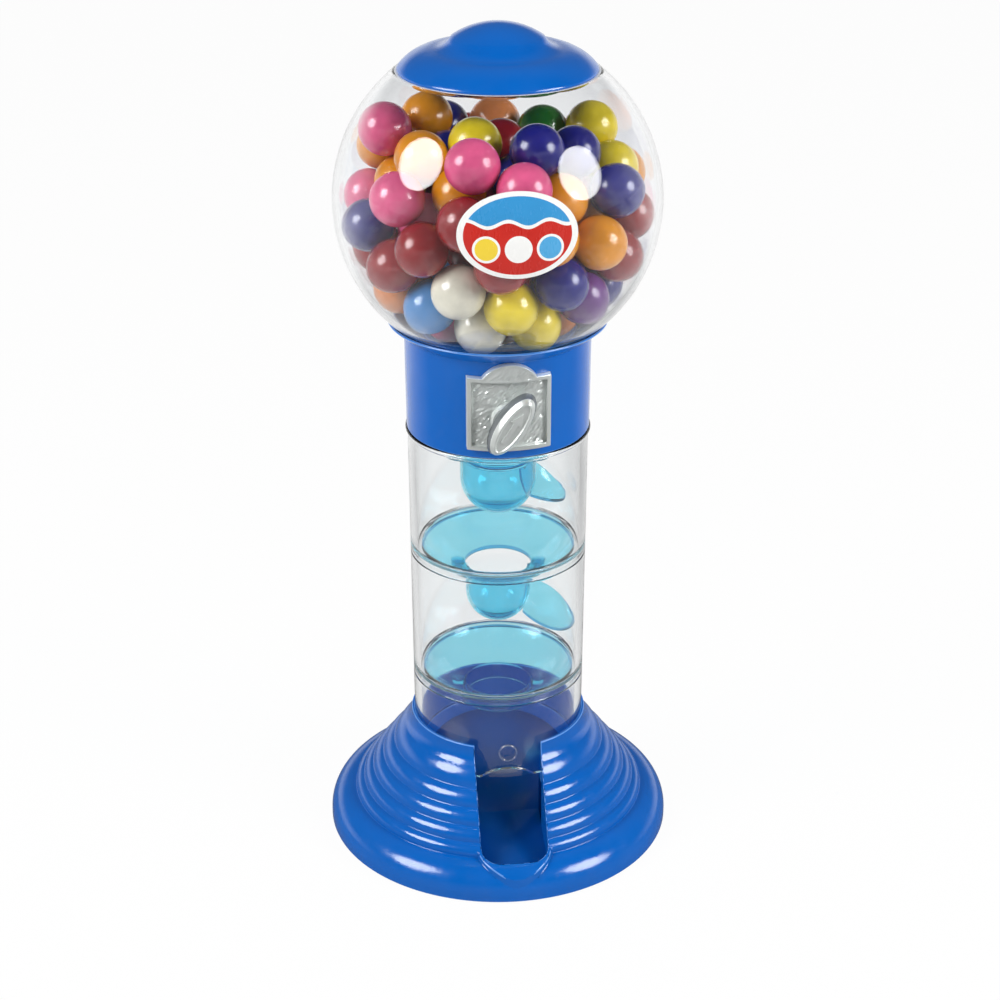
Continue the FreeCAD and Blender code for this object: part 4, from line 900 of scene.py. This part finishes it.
def make_plate():
    """A plate with a raised border, a sunk hammered field and a hole, bent round the collar."""
    shape = bmesh.new()
    shape.faces.new([shape.verts.new((x * MM, 0, z * MM)) for x, z in plate_outline()])
    low, high = PLATE_LOW + PLATE_BORDER, PLATE_HIGH - PLATE_BORDER
    side = PLATE_HALF - PLATE_BORDER
    top = PLATE_HIGH + PLATE_ARCH_RISE
    cut_strips(shape, 0, -side * 3, side * 3, 3)
    cut_strips(shape, 2, low * 2 - high, high * 2 - low, 3)
    cut_strips(shape, 0, -PLATE_HALF, PLATE_HALF, 100)
    cut_strips(shape, 2, PLATE_LOW, top, 108)
    outer = [edge for edge in shape.edges if edge.is_boundary]
    walls = bmesh.ops.extrude_edge_only(shape, edges=outer)["geom"]
    for vert in points_of(walls):
        vert.co.y = PLATE_THICKNESS * MM
    field = [
        face for face in shape.faces
        if abs(face.calc_center_median().x) < side * MM
        and low * MM < face.calc_center_median().z < high * MM
        and abs(face.calc_center_median().y) < 1e-6
    ]
    sunk = bmesh.ops.extrude_face_region(shape, geom=field)["geom"]
    bmesh.ops.delete(shape, geom=field, context="FACES")
    for vert in points_of(sunk):
        vert.co.y = PLATE_RECESS * MM
    bmesh.ops.recalc_face_normals(shape, faces=shape.faces)
    if sum(face.normal.y for face in shape.faces if abs(face.normal.y) > 0.9) > 0:
        bmesh.ops.reverse_faces(shape, faces=shape.faces)
    soften(shape, 0.28, 60.0, clamp=False)
    bush = Vector((0, KNOB_Z)) * MM
    hole = [
        face for face in shape.faces
        if (face.calc_center_median().xz - bush).length < BUSH_RADIUS * MM
    ]
    bmesh.ops.delete(shape, geom=hole, context="FACES")
    margin = 0.4
    for vert in shape.verts:
        x, depth, z = vert.co / MM
        in_field = abs(x) < side - margin and low + margin < z < high - margin
        in_arch = z > high + 0.9 and math.hypot(x, z - high + 3.4) < 8.6 and depth < 0.05
        if in_field:
            depth -= hammer(x, z)
        elif in_arch:
            depth += 0.12 + 0.6 * hammer(x, z)
        radius = PLATE_BACK + PLATE_THICKNESS - depth
        vert.co.y = -math.sqrt(radius ** 2 - x ** 2) * MM
    piece("front_plate", shape, SILVER, "machine", "silver_plastic", "front_plate")


# Knob
def make_knob():
    """An oval grip with a raised rim, a slanted flank painted darker as shade, and an arrow, on a round
    boss.
    """
    flank_back, flank_front = 33.3, 36.8
    shape = bmesh.new()
    profile = [
        (5.1, 33.25), (1.3, 33.25), (0.6, 33.4), (0.15, 33.85), (0.0, 34.45), (0.8, 36.7), (0.95, 37.0),
        (1.85, 38.1), (2.1, 38.33), (2.4, 38.36), (2.6, 38.2), (2.7, 37.95), (3.0, 37.9), (5.1, 37.9),
    ]
    verts = [
        shape.verts.new((GRIP_HALF_LENGTH * MM - inset * MM, -reach * MM, 0)) for inset, reach in profile
    ]
    edges = [shape.edges.new(pair) for pair in zip(verts, verts[1:])]
    spin_row(shape, verts + edges, (0, 1, 0), 96)
    for vert in shape.verts:
        arm = math.hypot(vert.co.x, vert.co.z)
        inset = GRIP_HALF_LENGTH * MM - arm
        turn = math.atan2(vert.co.z, vert.co.x)
        vert.co.x = math.cos(turn) * (GRIP_HALF_LENGTH * MM - inset)
        vert.co.z = math.sin(turn) * max(GRIP_HALF_WIDTH * MM - inset, 0.0)
    tidy(shape)
    # The flank's faces get the darker silver: painted shade on the grip's side.
    for face in shape.faces:
        face.material_index = int(flank_back * MM < -face.calc_center_median().y < flank_front * MM)
    add_arrow(shape)
    lean = Matrix.Translation((0, 0, KNOB_Z * MM)) @ Matrix.Rotation(math.radians(-GRIP_LEAN), 4, "Y")
    bmesh.ops.transform(shape, matrix=lean, verts=shape.verts)
    add_boss(shape)
    piece("knob", shape, (SILVER, PAINTED_SHADE_SILVER), "dispenser", "silver_plastic", "knob")


def add_arrow(shape):
    """A raised arrow along the grip's face."""
    foot, top = 37.8, 38.4
    points = [
        (-5.4, -0.75), (1.6, -0.75), (1.6, -1.9), (5.6, 0.0), (1.6, 1.9), (1.6, 0.75), (-5.4, 0.75),
    ]
    arrow = bmesh.new()
    face = arrow.faces.new([arrow.verts.new((x * MM, -foot * MM, z * MM)) for x, z in points])
    grown = bmesh.ops.extrude_face_region(arrow, geom=[face])["geom"]
    for vert in points_of(grown):
        vert.co.y = -top * MM
    tidy(arrow)
    soften(arrow, 0.16, 40.0)
    join(shape, arrow)


def add_boss(shape):
    """The round boss behind the grip and its stem."""
    boss = bmesh.new()
    profile = [
        (0.0, 9.5), (3.0, 9.5), (3.0, 31.25), (5.6, 31.25),
        (6.0, 31.65), (6.0, 33.0), (5.6, 33.8), (0.0, 33.8),
    ]
    verts = [boss.verts.new((radius * MM, -reach * MM, 0)) for radius, reach in profile]
    edges = [boss.edges.new(pair) for pair in zip(verts, verts[1:])]
    spin_row(boss, verts + edges, (0, 1, 0), 64)
    bmesh.ops.translate(boss, vec=(0, 0, KNOB_Z * MM), verts=boss.verts)
    join(shape, boss)


def join(shape, other):
    """Add another shape's faces to a shape."""
    spare = bpy.data.meshes.new("spare")
    other.to_mesh(spare)
    other.free()
    shape.from_mesh(spare)
    bpy.data.meshes.remove(spare)


def dress_solids():
    """Finishes for the solids that show as they are."""
    finishes = {
        DARK_BLUE: ("base_cover",),
        CYAN: ("outlet_spout", "cup_pins"),
        BLUE: ("hopper_floor",),
        WHITE: ("drum_housing", "dispensing_drum", "shaft_bush"),
        STEEL: ("cover_screws", "housing_screws", "drive_pin"),
        RUBBER: ("feet",),
    }
    for material, names in finishes.items():
        for name in names:
            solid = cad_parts[name]
            solid.data.materials.clear()
            solid.data.materials.append(material)


make_lid()
make_globe()
make_gumballs()
make_label()
make_tube("lower_tube", TUBE_SEAT, JOINT_LOW, JOINT_SPIGOT, False, arch=True)
make_tube("middle_tube", JOINT_LOW, JOINT_HIGH, JOINT_SPIGOT, True)
make_tube("upper_tube", JOINT_HIGH, COLLAR_Z, COLLAR_SPIGOT, True, bead=0.45)
make_funnel("upper_funnel", JOINT_HIGH)
make_funnel("lower_funnel", JOINT_LOW, throat=4.6)
make_cup("upper_cup", UPPER_CUP_RIM, 28.8, UPPER_CUP_RADIUS, UPPER_CUP_DEPTH, (30.0, 110.0), 9.0)
make_cup("lower_cup", LOWER_CUP_RIM, -6.8, CUP_RADIUS, CUP_DEPTH, (0.0, 180.0), 8.7)
make_rounded("collar", 0.25)
make_rounded("base_shell", 0.3)
make_ramp()
make_well()
make_plate()
make_knob()
dress_solids()


# Studio: pale floor, soft light and the camera
LEAN = math.radians(6.8)
FLOOR_HALF = 4.0
FLOOR_Z = -0.0002
LIGHT_TARGET = Vector((0, 0, 0.17))
CAMERA_PLACE = (0.66, -630.0, 414.1)
CAMERA_AIM = (0.66, 0.0, 114.46)
CAMERA_LENS = 79.2


def from_view(x, y, z):
    """A direction or place given as the camera faces, in the machine's frame."""
    return Vector((
        x * math.cos(LEAN) + y * math.sin(LEAN),
        y * math.cos(LEAN) - x * math.sin(LEAN),
        z,
    ))


def make_floor():
    """A pale floor with its shadow, white to the camera and dimmer aside when seen through clear pieces."""
    shape = bmesh.new()
    level = Matrix.Translation((0, 0, FLOOR_Z))
    bmesh.ops.create_grid(shape, x_segments=1, y_segments=1, size=FLOOR_HALF, matrix=level)
    mesh = bpy.data.meshes.new("floor")
    shape.to_mesh(mesh)
    shape.free()
    floor = bpy.data.objects.new("floor", mesh)
    scene.collection.objects.link(floor)
    material, tree, shader, output = start_material("pale_floor")
    shader.inputs["Base Color"].default_value = (0.86, 0.86, 0.86, 1.0)
    shader.inputs["Roughness"].default_value = 0.9
    path = tree.nodes.new("ShaderNodeLightPath")
    place = add_node(tree, "ShaderNodeTexCoord").outputs["Object"]
    apart = add_node(tree, "ShaderNodeSeparateXYZ", Vector=place).outputs
    direct = maths(tree, "MAXIMUM", path.outputs["Is Camera Ray"], path.outputs["Is Transmission Ray"])
    across, along = (maths(tree, "ABSOLUTE", apart[axis]) for axis in "XY")
    aside = span(tree, maths(tree, "MINIMUM", across, along), 1.0, 0.5, 0.07, 0.2)
    through = maths(tree, "MULTIPLY", path.outputs["Is Transmission Ray"], aside)
    behind = span(tree, apart["Y"], 0.15, 1.0, 0.05, 0.35)
    mirrored = maths(tree, "MULTIPLY", path.outputs["Is Glossy Ray"], behind)
    bright = maths(tree, "MAXIMUM", path.outputs["Is Camera Ray"], maths(tree, "MAXIMUM", through, mirrored))
    glow = add_node(tree, "ShaderNodeEmission", Strength=bright)
    seen = maths(tree, "MULTIPLY", maths(tree, "MAXIMUM", direct, path.outputs["Is Glossy Ray"]), 0.96)
    mixer = tree.nodes.new("ShaderNodeMixShader")
    tree.links.new(seen, mixer.inputs[0])
    tree.links.new(shader.outputs[0], mixer.inputs[1])
    tree.links.new(glow.outputs[0], mixer.inputs[2])
    tree.links.new(mixer.outputs[0], output.inputs["Surface"])
    mesh.materials.append(material)


def make_world():
    """A white backdrop, with a dim room above it that shows only in the pieces, and an even fill."""
    world = bpy.data.worlds.new("studio")
    scene.world = world
    world.use_nodes = True
    tree = world.node_tree
    tree.nodes.clear()
    output = tree.nodes.new("ShaderNodeOutputWorld")
    path = tree.nodes.new("ShaderNodeLightPath")
    place = add_node(tree, "ShaderNodeTexCoord").outputs["Generated"]
    sides = add_node(tree, "ShaderNodeSeparateXYZ", Vector=place).outputs
    fill = add_node(tree, "ShaderNodeBackground", Color=(1.0, 1.0, 1.0, 1.0))
    tree.links.new(span(tree, sides["Z"], 0.05, 0.45, -0.1, 1.0), fill.inputs["Strength"])
    high = span(tree, sides["Z"], 0.0, 1.0, 0.12, 0.3)
    above = maths(tree, "SUBTRACT", high, path.outputs["Is Camera Ray"])
    shade = blend(tree, above, (1.0, 1.0, 1.0), (0.12, 0.12, 0.12))
    direct = maths(tree, "MAXIMUM", path.outputs["Is Camera Ray"], path.outputs["Is Transmission Ray"])
    bright = maths(tree, "MAXIMUM", direct, span(tree, sides["Y"], 0.15, 1.0, 0.0, 0.5))
    room = add_node(tree, "ShaderNodeBackground", Color=shade, Strength=bright)
    seen = maths(tree, "MAXIMUM", direct, path.outputs["Is Glossy Ray"])
    mixer = tree.nodes.new("ShaderNodeMixShader")
    tree.links.new(seen, mixer.inputs[0])
    tree.links.new(fill.outputs[0], mixer.inputs[1])
    tree.links.new(room.outputs[0], mixer.inputs[2])
    tree.links.new(mixer.outputs[0], output.inputs["Surface"])


def make_lamp(name, direction, power, size):
    """A round lamp a metre from the machine, turned to it."""
    light = bpy.data.lights.new(name, "AREA")
    light.shape = "DISK"
    light.size = size
    light.energy = power
    lamp = bpy.data.objects.new(name, light)
    scene.collection.objects.link(lamp)
    lamp.location = LIGHT_TARGET + from_view(*direction).normalized()
    lamp.rotation_euler = (LIGHT_TARGET - lamp.location).to_track_quat("-Z", "Y").to_euler()


def make_camera():
    """A camera where the machine was seen from, a little above it."""
    data = bpy.data.cameras.new("camera")
    data.sensor_width = 36.0
    data.lens = CAMERA_LENS
    camera = bpy.data.objects.new("camera", data)
    scene.collection.objects.link(camera)
    camera.location = from_view(*CAMERA_PLACE) * MM
    aim = from_view(*CAMERA_AIM) * MM
    camera.rotation_euler = (aim - camera.location).to_track_quat("-Z", "Y").to_euler()
    scene.camera = camera


make_floor()
make_world()
make_lamp("left_lamp", (-0.764, -0.382, 0.52), 8.0, 0.55)
make_lamp("right_lamp", (0.817, -0.395, 0.43), 8.0, 0.55)
make_camera()
scene.view_settings.view_transform = "Standard"
scene.cycles.max_bounces = 32
scene.cycles.transmission_bounces = 32
scene.cycles.transparent_max_bounces = 32
